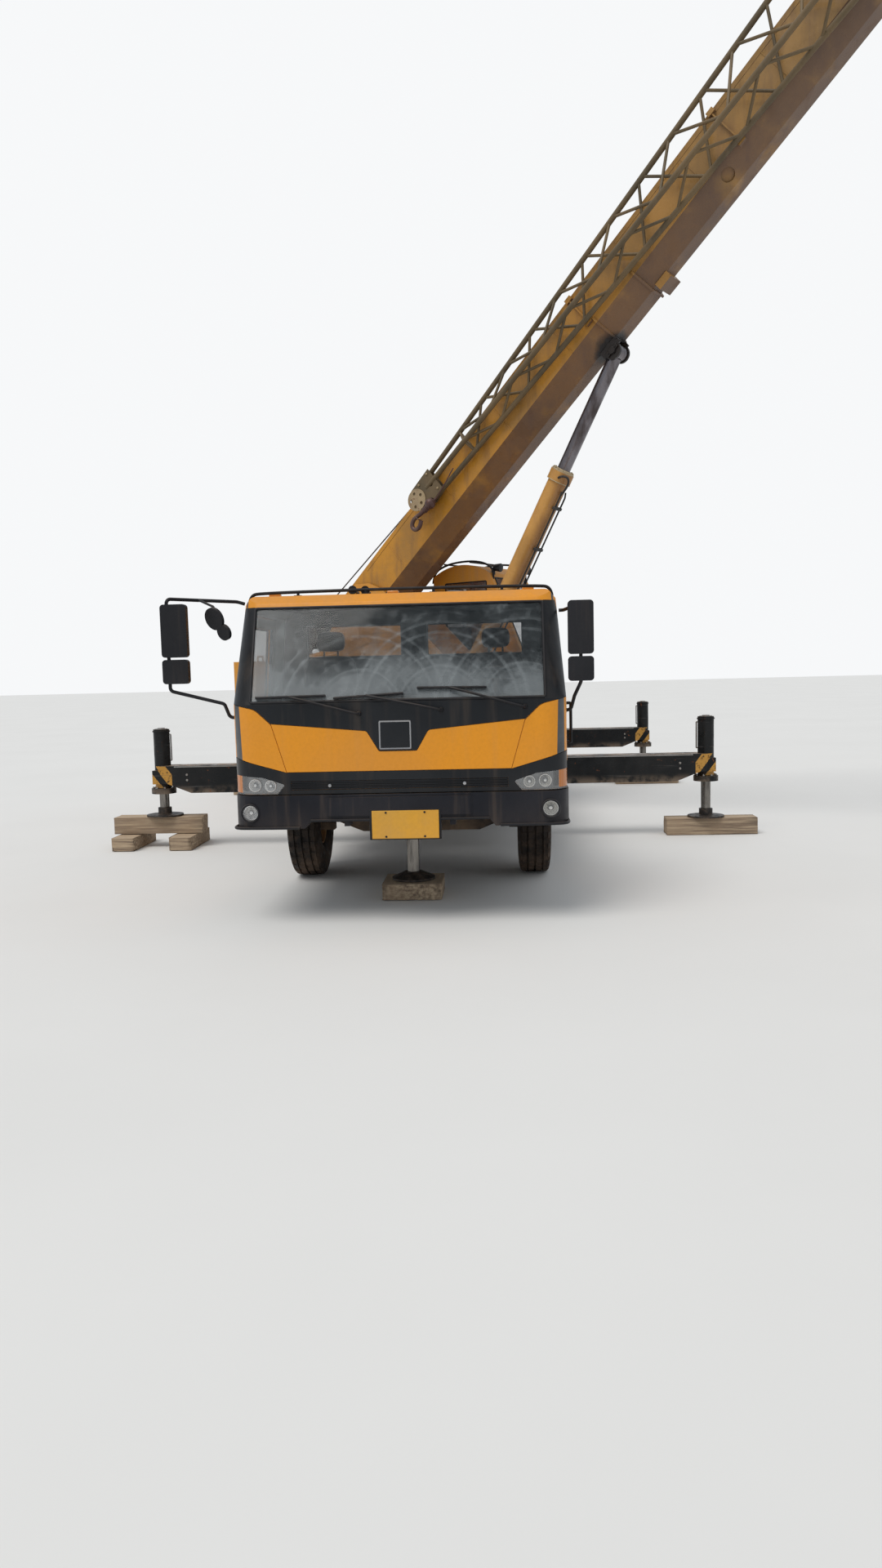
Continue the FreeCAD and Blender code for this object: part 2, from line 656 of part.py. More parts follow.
def driver_cab():
    """A hollow cab, cut where its doors and windows are. Each door keeps the skin's own form."""
    outer, inner = cab_form(0), cab_form(s.cab_wall)
    arch = Part.makeCylinder(s.fender_radius + s.plate / 2 + 12, 3000,
                             Vector(s.front_axle_x, -1500, s.tyre_radius), Vector(0, 1, 0))
    floor = block(5000, s.cab_front_x - 60, -1195, 1195, s.cab_floor_z - 30, s.cab_floor_z)
    below = block(5000, s.cab_front_x - 90, -1195, 1195, 900, s.cab_floor_z - 30)
    shell = outer.cut(inner).cut(below).fuse(floor.common(outer)).cut(arch)
    door_hole = block(s.door_rear_x, s.door_front_x, 900, 1400, s.door_bottom_z, s.door_top_z)
    gap = s.run_gap
    door_form = block(s.door_rear_x + gap, s.door_front_x - gap, 900, 1400, s.door_bottom_z + gap, s.door_top_z - gap)
    skin = outer.cut(inner).common(block(5000, 7000, s.cab_roof_half - 80, 1400, 900, 2600))
    door = skin.common(door_form)
    reveal = (s.door_rear_x + 110, s.door_front_x - 90, s.cab_waist_z + 20, s.door_top_z - 90)
    window = block(reveal[0], reveal[1], 1000, 1400, reveal[2], reveal[3])
    fit = s.fit_gap
    pane = outer.cut(cab_form(s.glass_thick)).common(
        block(reveal[0] + fit, reveal[1] - fit, 1000, 1400, reveal[2] + fit, reveal[3] - fit))
    shell = shell.cut(door_hole).cut(flipped(door_hole))
    skin_ahead, panels, trim = cab_front()
    shell = shell.cut(skin_ahead)
    door = door.cut(window)
    for z in (s.door_bottom_z + 140, s.cab_waist_z - 130):
        door = door.fuse(block(s.door_front_x - gap - 6, s.door_front_x - fit,
                               s.cab_side_half - 40, s.cab_side_half - 6, z, z + 90))
        # The hinge's leaf and its pin, which stands on the door's axis
        pin = Vector(s.door_front_x - 4, s.cab_side_half + 10, z)
        door = door.fuse(block(s.door_front_x - 70, pin.x, s.cab_side_half - 4, pin.y, z, z + 90))
        door = door.fuse(Part.makeCylinder(9, 90, pin, Vector(0, 0, 1)))
    # The windscreen and the two rear windows
    screen = block(6300, 7000, -1084, 1084, s.cab_waist_z + 8, s.cab_roof_z - 90)
    shell = shell.cut(screen.common(outer))
    panes = [outer.cut(cab_form(s.glass_thick)).common(
        block(6300, 7000, fit - 1084, 1084 - fit, s.cab_waist_z + 8 + fit, s.cab_roof_z - 90 - fit))]
    for y0, y1 in ((-955, -115), (115, 955)):
        shell = shell.cut(block(5000, 5200, y0, y1, 2005, 2285))
        panes.append(block(s.cab_rear_x + 15, s.cab_rear_x + 15 + s.glass_thick,
                           y0 + fit, y1 - fit, 2005 + fit, 2285 - fit))
    lamp = prism("YZ", HEADLAMP, s.cab_front_x - 230, s.cab_front_x + 50).common(
        outer.cut(cab_form(s.cab_wall - 8)))
    socket = prism("YZ", grown(HEADLAMP, fit), s.cab_front_x - 230 - fit, s.cab_front_x + 50).common(
        outer.cut(cab_form(s.cab_wall - 8 + fit)))
    shell = shell.cut(socket).cut(flipped(socket))
    node("cab_shell", shaped("cab_shell", shell.removeSplitter()))
    node("cab_front_panels", shaped("cab_front_panels", Part.makeCompound(panels)))
    node("cab_front_trim", shaped("cab_front_trim", trim))
    node("cab_glass", shaped("cab_glass", Part.makeCompound(panes)))
    for side, turn in (("left", lambda shape: shape), ("right", flipped)):
        node("door_" + side, shaped("door_" + side, turn(door.removeSplitter())))
        node("door_glass_" + side, shaped("door_glass_" + side, turn(pane)))
    return lamp


def cab_inside():
    """Dashboard, steering wheel and two seats, seen through the glass."""
    dash = slab("dash_form", "XZ", (
        ("cab_front_x - 380", "cab_floor_z + 120"), ("cab_front_x - cab_wall - 110", "cab_floor_z + 120"),
        ("cab_front_x - cab_wall - 110", "cab_waist_z - 60"), ("cab_front_x - 200", "cab_waist_z + 10"),
        ("cab_front_x - 420", "cab_waist_z + 40"), ("cab_front_x - 470", "cab_waist_z - 120")),
        "-1060", "2120")
    legs = box("dash_leg", ("120", "300", "140"), ("cab_front_x - 300", "seat_y - 150", "cab_floor_z + fit_gap"))
    legs2 = box("dash_leg_2", ("120", "300", "140"), ("cab_front_x - 300", "-seat_y - 150", "cab_floor_z + fit_gap"))
    wheel = doc.addObject("Part::Torus", "steering_ring")
    bind(wheel, Radius1="210", Radius2="15")
    wheel.Placement = Placement(Vector(), Rotation(Vector(0, 1, 0), -28))
    move(wheel, "cab_front_x - 640", "seat_y", "cab_waist_z + 130")
    spoke = rod("steering_spoke", "18", "420", ("cab_front_x - 640", "seat_y - 210", "cab_waist_z + 130"), "y")
    column = rod("steering_column", "35", "600", ("0", "0", "0"))
    column.Placement = Placement(Vector(s.cab_front_x - 640 + 4, s.seat_y, s.cab_waist_z + 130),
                                 Rotation(Vector(0, 1, 0), 146))
    pieces = [joined("dash_solids", dash, legs, legs2, wheel, spoke, column)]
    for name, y in (("driver", "seat_y"), ("mate", "-seat_y")):
        base = box(name + "_base", ("420", "400", "200"), ("cab_rear_x + 400", y + " - 200", "cab_floor_z + fit_gap"))
        pan = box(name + "_pan", ("520", "500", "130"), ("cab_rear_x + 360", y + " - 250", "cab_floor_z + 200"))
        back = slab(name + "_back", "XZ", (
            ("cab_rear_x + 250", "cab_floor_z + 220"), ("cab_rear_x + 380", "cab_floor_z + 220"),
            ("cab_rear_x + 260", "cab_floor_z + 740"), ("cab_rear_x + 170", "cab_floor_z + 740")), y + " - 240", "480")
        rest = box(name + "_rest", ("90", "250", "170"), ("cab_rear_x + 155", y + " - 125", "cab_floor_z + 735"))
        pieces.append(joined(name + "_seat", base, pan, back, rest))
    node("cab_interior", group("cab_interior_group", *pieces))


def lamps(head):
    """Headlamps let into the cab's corners, fog lamps in the bumper and tail lamps."""
    pieces = [head, flipped(head)]
    for y in (-1108, 1108):
        pieces.append(Part.makeCylinder(64 - s.fit_gap, 60, Vector(s.cab_front_x - 79.7, y, 850), Vector(1, 0, 0)))
    tail = block(s.truck_rear_x - 60.3, s.truck_rear_x - s.fit_gap, s.frame_half + 180, s.frame_half + 510,
                 s.frame_top_z - 150, s.frame_top_z - 40)
    pieces += [tail, flipped(tail)]
    node("lamps", shaped("lamps_form", Part.makeCompound(pieces)))


MIRRORS = (
    # side, inner y, outer y, highest z, x of the glass heads
    (-1, 1528, 1720, 2396, 6850),
    (1, 1252, 1436, 2350, 6800),
)


def mirrors():
    """Bent tube arms with a main and a wide-angle head. The mate's side stands out and has kerb mirrors."""
    pieces = []
    for side, inner, outer, top, x in MIRRORS:
        middle = (inner + outer) / 2
        arm_y = outer - 40 if side < 0 else middle
        rise = 2412
        foot = s.cab_side_half + s.fit_gap
        route = [Vector(6470, s.cab_roof_half + 11, rise), Vector(6470, s.cab_roof_half + 70, rise + 18),
                 Vector(x + 20, arm_y, rise + 26), Vector(x + 20, arm_y, 1765),
                 Vector(x - 60, s.cab_side_half + 60, 1660), Vector(x - 110, s.cab_side_half + 34, 1555),
                 Vector(x - 110, foot, 1555)]
        if side > 0:
            route[0].z = route[1].z = 2300
            route[0].y = s.cab_roof_half + 26
            route[1].y = s.cab_roof_half + 60
            route[2] = Vector(x + 20, arm_y, 2330)
        arm = pipe(route, 13, 34)
        heads = []
        for low, high in ((top - 386, top), (top - 580, top - 402)):
            form = prism("YZ", ((inner, low, 26), (outer, low, 26), (outer, high, 26), (inner, high, 26)), x, x + 62)
            heads.append(form)
        whole = arm.multiFuse(heads)
        if side < 0:
            for y, z, size in ((1320, 2290, 84), (1252, 2190, 60)):
                cup = Part.makeCylinder(size, 26, Vector(6860, y, z), Vector(0.8, 0.5, -0.33))
                whole = whole.fuse(cup)
            whole = whole.fuse(pipe([Vector(6694, 1490, 2438), Vector(6866, 1330, 2372), Vector(6872, 1322, 2292),
                                     Vector(6872, 1256, 2190)], 9, 20))
        pieces.append(whole if side > 0 else flipped(whole))
    node("cab_mirrors", shaped("cab_mirrors", Part.makeCompound(pieces)))


def tyre(x, y):
    """A tyre in flats round its axle, with a corner of the outline on the ground."""
    rows = ((s.rim_radius + 16, s.rim_width / 2 + 6), (s.rim_radius + 160, s.tyre_width / 2),
            (s.tyre_radius, s.tyre_width / 2 - 40))

    def flats(radius, across):
        turns = [2 * math.pi * i / s.tyre_flats for i in range(int(s.tyre_flats))]
        corners = [Vector(x + radius * math.sin(a), y + across, s.tyre_radius - radius * math.cos(a)) for a in turns]
        return Part.makePolygon(corners + corners[:1])

    wires = [flats(radius, -across) for radius, across in rows]
    wires += [flats(radius, across) for radius, across in reversed(rows)]
    bore = (s.rim_radius + s.fit_gap) / math.cos(math.pi / s.tyre_flats)
    hole = Part.makeLoft([flats(bore, -s.tyre_width), flats(bore, s.tyre_width)], True, True)
    return Part.makeLoft(wires, True, True).cut(hole)


def rim_profile(sign, bore, disc):
    """A wheel rim with its dished disc. The disc stands toward the side that sign gives."""
    def across(text):
        return "%s(%s)" % (sign, text)
    return (
        ("rim_radius", across("rim_width / 2")), ("rim_radius", across("-rim_width / 2")),
        ("rim_radius - 14", across("-rim_width / 2")), ("rim_radius - 24", across("%s - 30" % disc)),
        (bore, across("%s - 14" % disc)), (bore, across(disc)), ("rim_radius - 60", across(disc)),
        ("rim_radius - 14", across("rim_width / 2")))


def wheels():
    for side, sign in (("left", ""), ("right", "-")):
        away = "" if side == "left" else "-"
        y = sign + "front_track / 2"
        way = 1 if side == "left" else -1
        node("tyre_front_" + side, shaped("tyre_front_" + side, tyre(s.front_axle_x, way * s.front_track / 2)))
        disc = turned("disc_front_" + side, rim_profile(away, "stub_radius + pin_gap", "60"), ("front_axle_x", y, "tyre_radius"))
        hub = turned("hub_front_" + side, (
            ("stub_radius + pin_gap", away + "(61)"), ("hub_radius", away + "(61)"), ("hub_radius - 20", away + "(110)"),
            ("80", away + "(150)"), ("stub_radius + pin_gap", away + "(150)")), ("front_axle_x", y, "tyre_radius"))
        node("rim_front_" + side, joined("rim_front_" + side, disc, hub))
        for name in ("middle", "rear"):
            centre = name + "_axle_x"
            tyres, rims = [], []
            for place, shift, facing in (("outer", "+ twin_spacing / 2", "-"), ("inner", "- twin_spacing / 2", "")):
                at = (centre, "%s(rear_track / 2 %s)" % (sign, shift), "tyre_radius")
                key = "%s_%s_%s" % (name, side, place)
                spread = s.twin_spacing / 2 if place == "outer" else -s.twin_spacing / 2
                tyres.append(tyre(getattr(s, centre), way * (s.rear_track / 2 + spread)))
                turn = facing if side == "left" else ("-" if facing == "" else "")
                rims.append(turned("rim_" + key, rim_profile(turn, "bogie_tube_radius + pin_gap", "90"), at))
            node("tyres_%s_%s" % (name, side), shaped("tyres_%s_%s" % (name, side), Part.makeCompound(tyres)))
            hub = turned("hub_%s_%s" % (name, side), (
                ("bogie_tube_radius + pin_gap", away + "(-80)"), ("hub_radius + 10", away + "(-80)"),
                ("hub_radius + 10", away + "(80)"),
                ("110", away + "(250)"), ("bogie_tube_radius + pin_gap", away + "(250)")),
                (centre, sign + "rear_track / 2", "tyre_radius"))
            node("rims_%s_%s" % (name, side), joined("rims_%s_%s" % (name, side), hub, *rims))


def knuckles():
    for side, sign in (("left", ""), ("right", "-")):
        away = "" if side == "left" else "-"
        fork = box("knuckle_block_" + side, ("130", "100", "290"),
                   ("front_axle_x - 65", "%skingpin_y - 50" % sign, "axle_beam_z + 20"))
        slot = box("knuckle_slot_" + side, ("300", "300", "116"),
                   ("front_axle_x - 150", "%skingpin_y - 150" % sign, "axle_beam_z + 87"))
        bore = rod("knuckle_bore_" + side, "kingpin_radius + pin_gap", "400",
                   ("front_axle_x", sign + "kingpin_y", "axle_beam_z - 20"))
        cheek = box("knuckle_plate_" + side, ("150", "22", "290"),
                    ("front_axle_x - 75", "%s(kingpin_y + 82) - 11" % sign, "axle_beam_z + 20"))
        web = box("knuckle_web_" + side, ("130", "60", "66"),
                  ("front_axle_x - 65", "%s(kingpin_y + 60) - 30" % sign, "axle_beam_z + 20"))
        web2 = box("knuckle_web_top_" + side, ("130", "60", "107"),
                   ("front_axle_x - 65", "%s(kingpin_y + 60) - 30" % sign, "axle_beam_z + 203"))
        stub = turned("stub_form_" + side, (
            ("0", away + "(kingpin_y + 78)"), ("stub_radius", away + "(kingpin_y + 78)"),
            ("stub_radius", away + "(front_track / 2 + 140)"), ("0", away + "(front_track / 2 + 140)")),
            ("front_axle_x", "0", "tyre_radius"))
        solid = joined("knuckle_solid_" + side, minus("knuckle_fork_" + side, fork, slot, bore), cheek, web, web2, stub)
        node("knuckle_" + side, solid)


def outriggers():
    """Sliding beams whose underside tapers to the jack, with the jack's flange, rod, nut and float."""
    for name, end, sign, lane in OUTRIGGERS:
        x = "%s_outrigger_x %s (beam_wide / 2 + beam_gap + box_wall / 2)" % (end, lane)
        low, high = "beam_top_z - beam_tall", "beam_top_z"
        beam = slab("beam_form_" + name, "YZ", (
            (sign + "beam_inner_y", high), (sign + "outrigger_reach", high),
            (sign + "outrigger_reach", low + " + 110"), (sign + "(outrigger_reach - 90)", low + " + 100"),
            (sign + "(outrigger_reach - 340)", low), (sign + "beam_inner_y", low)),
            x + " - beam_wide / 2", "beam_wide")
        at = (x, sign + "outrigger_reach", low + " - 8")
        tube = rod("jack_tube_" + name, "jack_tube_radius", "jack_tube_top_z - beam_top_z + beam_tall + 8", at)
        cap = rod("jack_cap_" + name, "jack_tube_radius + 8", "14", (x, sign + "outrigger_reach", "jack_tube_top_z - 30"))
        flange = rod("jack_flange_" + name, "jack_flange_radius", "58", at)
        ear = box("jack_ear_" + name, ("2 * jack_tube_radius + 36", "2 * jack_tube_radius + 8", "beam_tall - 150"),
                  (x + " - jack_tube_radius - 18", sign + "outrigger_reach - jack_tube_radius - 4", low + " + 100"))
        bore = rod("jack_bore_" + name, "jack_rod_radius + fit_gap", "jack_tube_top_z - beam_top_z + beam_tall - 32",
                   (x, sign + "outrigger_reach", low + " - 20"))
        nut_room = rod("jack_nut_room_" + name, "jack_rod_radius + 28", "62", (x, sign + "outrigger_reach", low + " - 20"))
        node("outrigger_beam_" + name,
             minus("beam_cut_" + name, joined("beam_solid_" + name, beam, tube, cap, flange, ear), bore, nut_room))
        base = "%s + timber_tall" % ("sleeper_tall" if sign == "-" else "0")
        leg = rod("jack_rod_" + name, "jack_rod_radius", "%s + 280 - (%s) - 20" % (low, base),
                  (x, sign + "outrigger_reach", base + " + 20"))
        foot = turned("float_" + name, (
            ("0", base + " + fit_gap"), ("float_radius", base + " + fit_gap"), ("float_radius", base + " + 16"),
            ("jack_rod_radius + 40", base + " + 26"), ("jack_rod_radius + 22", base + " + 30"),
            ("jack_rod_radius + 22", base + " + 92"), ("0", base + " + 92")),
            (x, sign + "outrigger_reach", "0"), "z")
        node("jack_" + name, joined("jack_solid_" + name, leg, foot))
    leg = rod("front_jack_rod", "jack_rod_radius", "rail_bottom_z + 80 - front_timber_tall",
              ("front_jack_x", "0", "front_timber_tall + 20"))
    foot = turned("front_float", (
        ("0", "front_timber_tall + fit_gap"), ("float_radius - 20", "front_timber_tall + fit_gap"),
        ("float_radius - 20", "front_timber_tall + 16"), ("jack_rod_radius + 30", "front_timber_tall + 60"),
        ("0", "front_timber_tall + 60")), ("front_jack_x", "0", "0"), "z")
    node("jack_front", joined("front_jack_solid", leg, foot))


def timbers():
    """A squared timber under each float. On the right it lies across two sleepers, as the ground is lower."""
    pieces = []
    for name, end, sign, lane in OUTRIGGERS:
        x = "%s_outrigger_x %s (beam_wide / 2 + beam_gap + box_wall / 2)" % (end, lane)
        y = sign + "(outrigger_reach + timber_shift)"
        base = "0"
        if sign == "-":
            base = "sleeper_tall"
            for i, shift in enumerate(("- timber_long / 2 + 60", "+ timber_long / 2 - 60 - timber_wide")):
                pieces.append(box("sleeper_%s_%d" % (name, i), ("timber_long * 0.8", "timber_wide", "sleeper_tall"),
                                  (x + " - timber_long * 0.4", "%s %s" % (y, shift), "0")))
        pieces.append(box("timber_" + name, ("timber_wide", "timber_long", "timber_tall"),
                          (x + " - timber_wide / 2", y + " - timber_long / 2", base)))
    pieces.append(box("timber_front", ("timber_wide * 2", "timber_wide * 2", "front_timber_tall"),
                      ("front_jack_x - timber_wide", "-timber_wide", "0")))
    node("timber_pads", group("timber_pads_group", *pieces))


# The superstructure, drawn with the boom pointing along X and then turned to its heading.
def turntable():
    ring = rod("turn_ring", "seat_radius - 20", "turn_base_z - seat_top_z - fit_gap", ("0", "0", "seat_top_z + fit_gap"))
    base = box("turn_base", ("3600", "2 * (cheek_inner_y + cheek_thick + 60)", "40"),
               ("-2500", "-(cheek_inner_y + cheek_thick + 60)", "turn_base_z"))
    wing = box("cab_bearer", ("1200", "940", "crane_cab_floor_z - fit_gap - turn_base_z"),
               ("-400", "cheek_inner_y + cheek_thick", "turn_base_z"))
    cheek = slab("cheek_form", "XZ", (
        ("1060", "turn_base_z + 20"), ("1040", "luff_foot_z - 60"), ("luff_foot_x + 330", "luff_foot_z + 120"),
        ("luff_foot_x - 130", "luff_foot_z + 240"),
        ("boom_foot_x + 330", "boom_foot_z + 60"), ("boom_foot_x + 110", "boom_foot_z + 150"),
        ("boom_foot_x - 130", "boom_foot_z + 150"), ("boom_foot_x - 330", "boom_foot_z - 40"),
        ("-1900", "2180"), ("tail_x", "2060"), ("tail_x", "1500"), ("-2000", "turn_base_z + 20")),
        "cheek_inner_y", "cheek_thick")
    boss = rod("luff_foot_boss", "luff_pin_radius + 45", "26", ("luff_foot_x", "cheek_inner_y + cheek_thick - 2", "luff_foot_z"), "y")
    pins = [boss, mirrored("luff_foot_boss_right", boss),
            rod("boom_foot_pin", "foot_pin_radius", "2 * (cheek_inner_y + cheek_thick + 25)",
                ("boom_foot_x", "-(cheek_inner_y + cheek_thick + 25)", "boom_foot_z"), "y")]
    cross = box("tail_cross", ("40", "2 * cheek_inner_y + 10", "600"), ("-2200", "-cheek_inner_y - 5", "1400"))
    floor = box("tail_floor", ("600", "2 * cheek_inner_y + 10", "30"), ("tail_x + 20", "-cheek_inner_y - 5", "2030"))
    node("turntable", joined("turntable_solids", ring, base, wing, cheek, mirrored("cheek_right", cheek), cross, floor, *pins), HOUSE)
    weight = slab("counterweight_form", "XY", (
        ("counterweight_front_x", "-counterweight_half"), ("counterweight_front_x", "counterweight_half"),
        ("counterweight_rear_x + 240", "counterweight_half"), ("counterweight_rear_x", "counterweight_half - 330"),
        ("counterweight_rear_x", "-counterweight_half + 330"), ("counterweight_rear_x + 240", "-counterweight_half")),
        "counterweight_bottom_z", "counterweight_top_z - counterweight_bottom_z")
    slot = box("counterweight_slot", ("tail_x * -1 + counterweight_front_x + 20.3", "2 * (cheek_inner_y + cheek_thick + fit_gap)", "900"),
               ("tail_x - fit_gap - 20", "-(cheek_inner_y + cheek_thick + fit_gap)", "counterweight_bottom_z - 50"))
    node("counterweight", minus("counterweight_cut", weight, slot), HOUSE)


def winches():
    """Two rope drums on the tail, between flanges, in side brackets."""
    pieces = []
    for name, x, z in (("main", "winch_x", "winch_z"), ("spare", "winch_x + 600", "winch_z - 560")):
        drum = turned(name + "_drum", (
            ("0", "-250"), ("flange_radius", "-250"), ("flange_radius", "-230"), ("drum_radius", "-230"),
            ("drum_radius", "230"), ("flange_radius", "230"), ("flange_radius", "250"), ("0", "250")), (x, "0", z))
        axle = rod(name + "_axle", "60", "2 * (cheek_inner_y - fit_gap)", (x, "-cheek_inner_y + fit_gap", z), "y")
        pieces.append(joined(name + "_winch", drum, axle))
    bracket = slab("winch_bracket", "XZ", (
        ("winch_x - 200", "2060 + fit_gap"), ("winch_x - 120", "winch_z + 110"), ("winch_x + 120", "winch_z + 110"),
        ("winch_x + 200", "2060 + fit_gap")), "265", "40")
    pieces[0] = joined("main_winch_solid", pieces[0], bracket, mirrored("winch_bracket_right", bracket))
    node("winches", group("winches_group", *pieces), HOUSE)


def crane_cab():
    """The crane driver's cab on the boom's left, with a curved roof and a raked front."""
    def form(inset):
        x0, x1 = s.crane_cab_rear_x + inset, s.crane_cab_front_x - inset
        z0 = s.crane_cab_floor_z if inset == 0 else s.crane_cab_floor_z + 45
        z1 = s.crane_cab_roof_z - inset
        y0, y1 = s.crane_cab_inner_y + inset, s.crane_cab_outer_y - inset
        middle = (x0 + x1) / 2
        points = [Vector(x0, y0, z0), Vector(x1 - 260, y0, z0), Vector(x1, y0, z0 + 420), Vector(x1 - 30, y0, z0 + 700),
                  Vector(x1 - s.crane_cab_rake, y0, z1 - 130)]
        edges = [Part.LineSegment(a, b).toShape() for a, b in zip(points, points[1:])]
        edges.append(Part.Arc(points[-1], Vector(middle - 100, y0, z1), Vector(x0 + 60, y0, z1 - 130)).toShape())
        edges.append(Part.LineSegment(Vector(x0 + 60, y0, z1 - 130), points[0]).toShape())
        return Part.Face(Part.Wire(edges)).extrude(Vector(0, y1 - y0, 0))
    outer, inner = form(0), form(40)
    x0, x1 = s.crane_cab_rear_x, s.crane_cab_front_x
    y0, y1 = s.crane_cab_inner_y, s.crane_cab_outer_y
    z0, z1 = s.crane_cab_floor_z, s.crane_cab_roof_z
    shell = outer.cut(inner)
    front = block(x1 - 520, x1 + 50, y0 + 70, y1 - 70, z0 + 480, z1 - 190)
    right = block(x0 + 260, x1 - 560, y0 - 50, y0 + 100, z0 + 750, z1 - 230)
    back = block(x0 - 50, x0 + 200, y0 + 110, y1 - 110, z0 + 850, z1 - 260)
    hole = block(x0 + 180, x1 - 520, y1 - 100, y1 + 100, z0 + 60, z1 - 230)
    shell = shell.cut(front).cut(right).cut(back).cut(hole)
    thin = outer.cut(form(s.glass_thick))
    panes = [thin.common(block(x1 - 519.7, x1 + 50, y0 + 70.3, y1 - 70.3, z0 + 480.3, z1 - 190.3)),
             thin.common(block(x0 + 260.3, x1 - 560.3, y0 - 50, y0 + 100, z0 + 750.3, z1 - 230.3)),
             thin.common(block(x0 - 50, x0 + 199.7, y0 + 110.3, y1 - 110.3, z0 + 850.3, z1 - 260.3))]
    gap = s.run_gap
    door = block(x0 + 150, x1 - 490, y1 + gap, y1 + gap + 30, z0 + 40, z1 - 205)
    view = block(x0 + 230, x1 - 570, y1 - 100, y1 + 100, z0 + 650, z1 - 290)
    rail = block(x0 - 560, x1 - 490, y1 - 10, y1 + gap - 0.3, z1 - 240, z1 - 190)
    node("crane_cab", shaped("crane_cab_shell", shell.fuse(rail).removeSplitter()), HOUSE)
    node("crane_cab_glass", shaped("crane_cab_panes", Part.makeCompound(panes)), HOUSE)
    door = door.cut(view).fuse(block(x0 + 150, x1 - 490, y1 + gap, y1 + gap + 30, z0 + 500, z0 + 560))
    node("crane_cab_door", shaped("crane_door", door), HOUSE)
    seat = block(x0 + 190, x0 + 640, y0 + 220, y1 - 240, z0 + 45.3, z0 + 480)
    back_rest = block(x0 + 130, x0 + 230, y0 + 220, y1 - 240, z0 + 460, z0 + 1080)
    console = block(x0 + 300, x0 + 700, y0 + 70, y0 + 170, z0 + 45.3, z0 + 640)
    desk = block(x1 - 430, x1 - 310, y0 + 160, y1 - 160, z0 + 45.3, z0 + 620)
    node("crane_cab_interior", shaped("crane_inside", Part.makeCompound([seat.fuse(back_rest), console, desk])), HOUSE)


def section_outline(step, wall=0.0):
    """The boom's cross section: a tall box whose lower corners are bevelled."""
    less = step * s.boom_nest + wall
    half, top, low = s.boom_half - less, s.boom_top - less, s.boom_bottom + less
    bevel_y, bevel_z = s.boom_bevel_y - less * 0.4, s.boom_bevel_z - less * 0.4
    return ((half, top), (half, low + bevel_z), (half - bevel_y, low), (bevel_y - half, low),
            (-half, low + bevel_z), (-half, top))


def boom_tube(step, start, end, wall):
    def bar(points, x0, x1):
        corners = [Vector(x0, y, z) for y, z in points]
        return Part.Face(Part.makePolygon(corners + corners[:1])).extrude(Vector(x1 - x0, 0, 0))
    return bar(section_outline(step), start, end).cut(bar(section_outline(step, wall), start - 1, end + 1))


def collar(step, start, end, proud):
    def bar(less, x0, x1):
        corners = [Vector(x0, y, z) for y, z in section_outline(step, less)]
        return Part.Face(Part.makePolygon(corners + corners[:1])).extrude(Vector(x1 - x0, 0, 0))
    return bar(-proud, start, end).cut(bar(2, start - 1, end + 1))


def slide_pads(step):
    """Wear pads near a section's tail, which run along the walls of the section around it."""
    start, end = s.section_tail, s.section_tail + 160
    (half, top), (_, side_low), (low_half, low) = section_outline(step)[:3]
    (out_half, out_top), _, (_, out_low) = section_outline(step - 1, s.boom_wall if step == 1 else s.boom_wall - 2)[:3]
    gap = s.fit_gap
    return [block(start, end, -90, 90, top - 2, out_top - gap), block(start, end, -60, 60, out_low + gap, low + 2),
            block(start, end, half - 2, out_half - gap, 40, 160), block(start, end, gap - out_half, 2 - half, 40, 160)]


def jib_section(place):
    """The jib's three chords at a place along the boom: upper, outer and lower."""
    t = (place - s.jib_tip_s) / (s.jib_base_s - s.jib_tip_s)
    near = -s.boom_half - s.jib_gap - s.chord_radius
    upper = Vector(place, near, s.jib_tip_upper + t * (s.jib_base_upper - s.jib_tip_upper))
    lower = Vector(place, near, s.jib_tip_lower + t * (s.jib_base_lower - s.jib_tip_lower))
    outer = Vector(place, near - s.jib_tip_deep - t * (s.jib_base_deep - s.jib_tip_deep),
                   s.jib_tip_outer + t * (s.jib_base_outer - s.jib_tip_outer))
    return upper, outer, lower


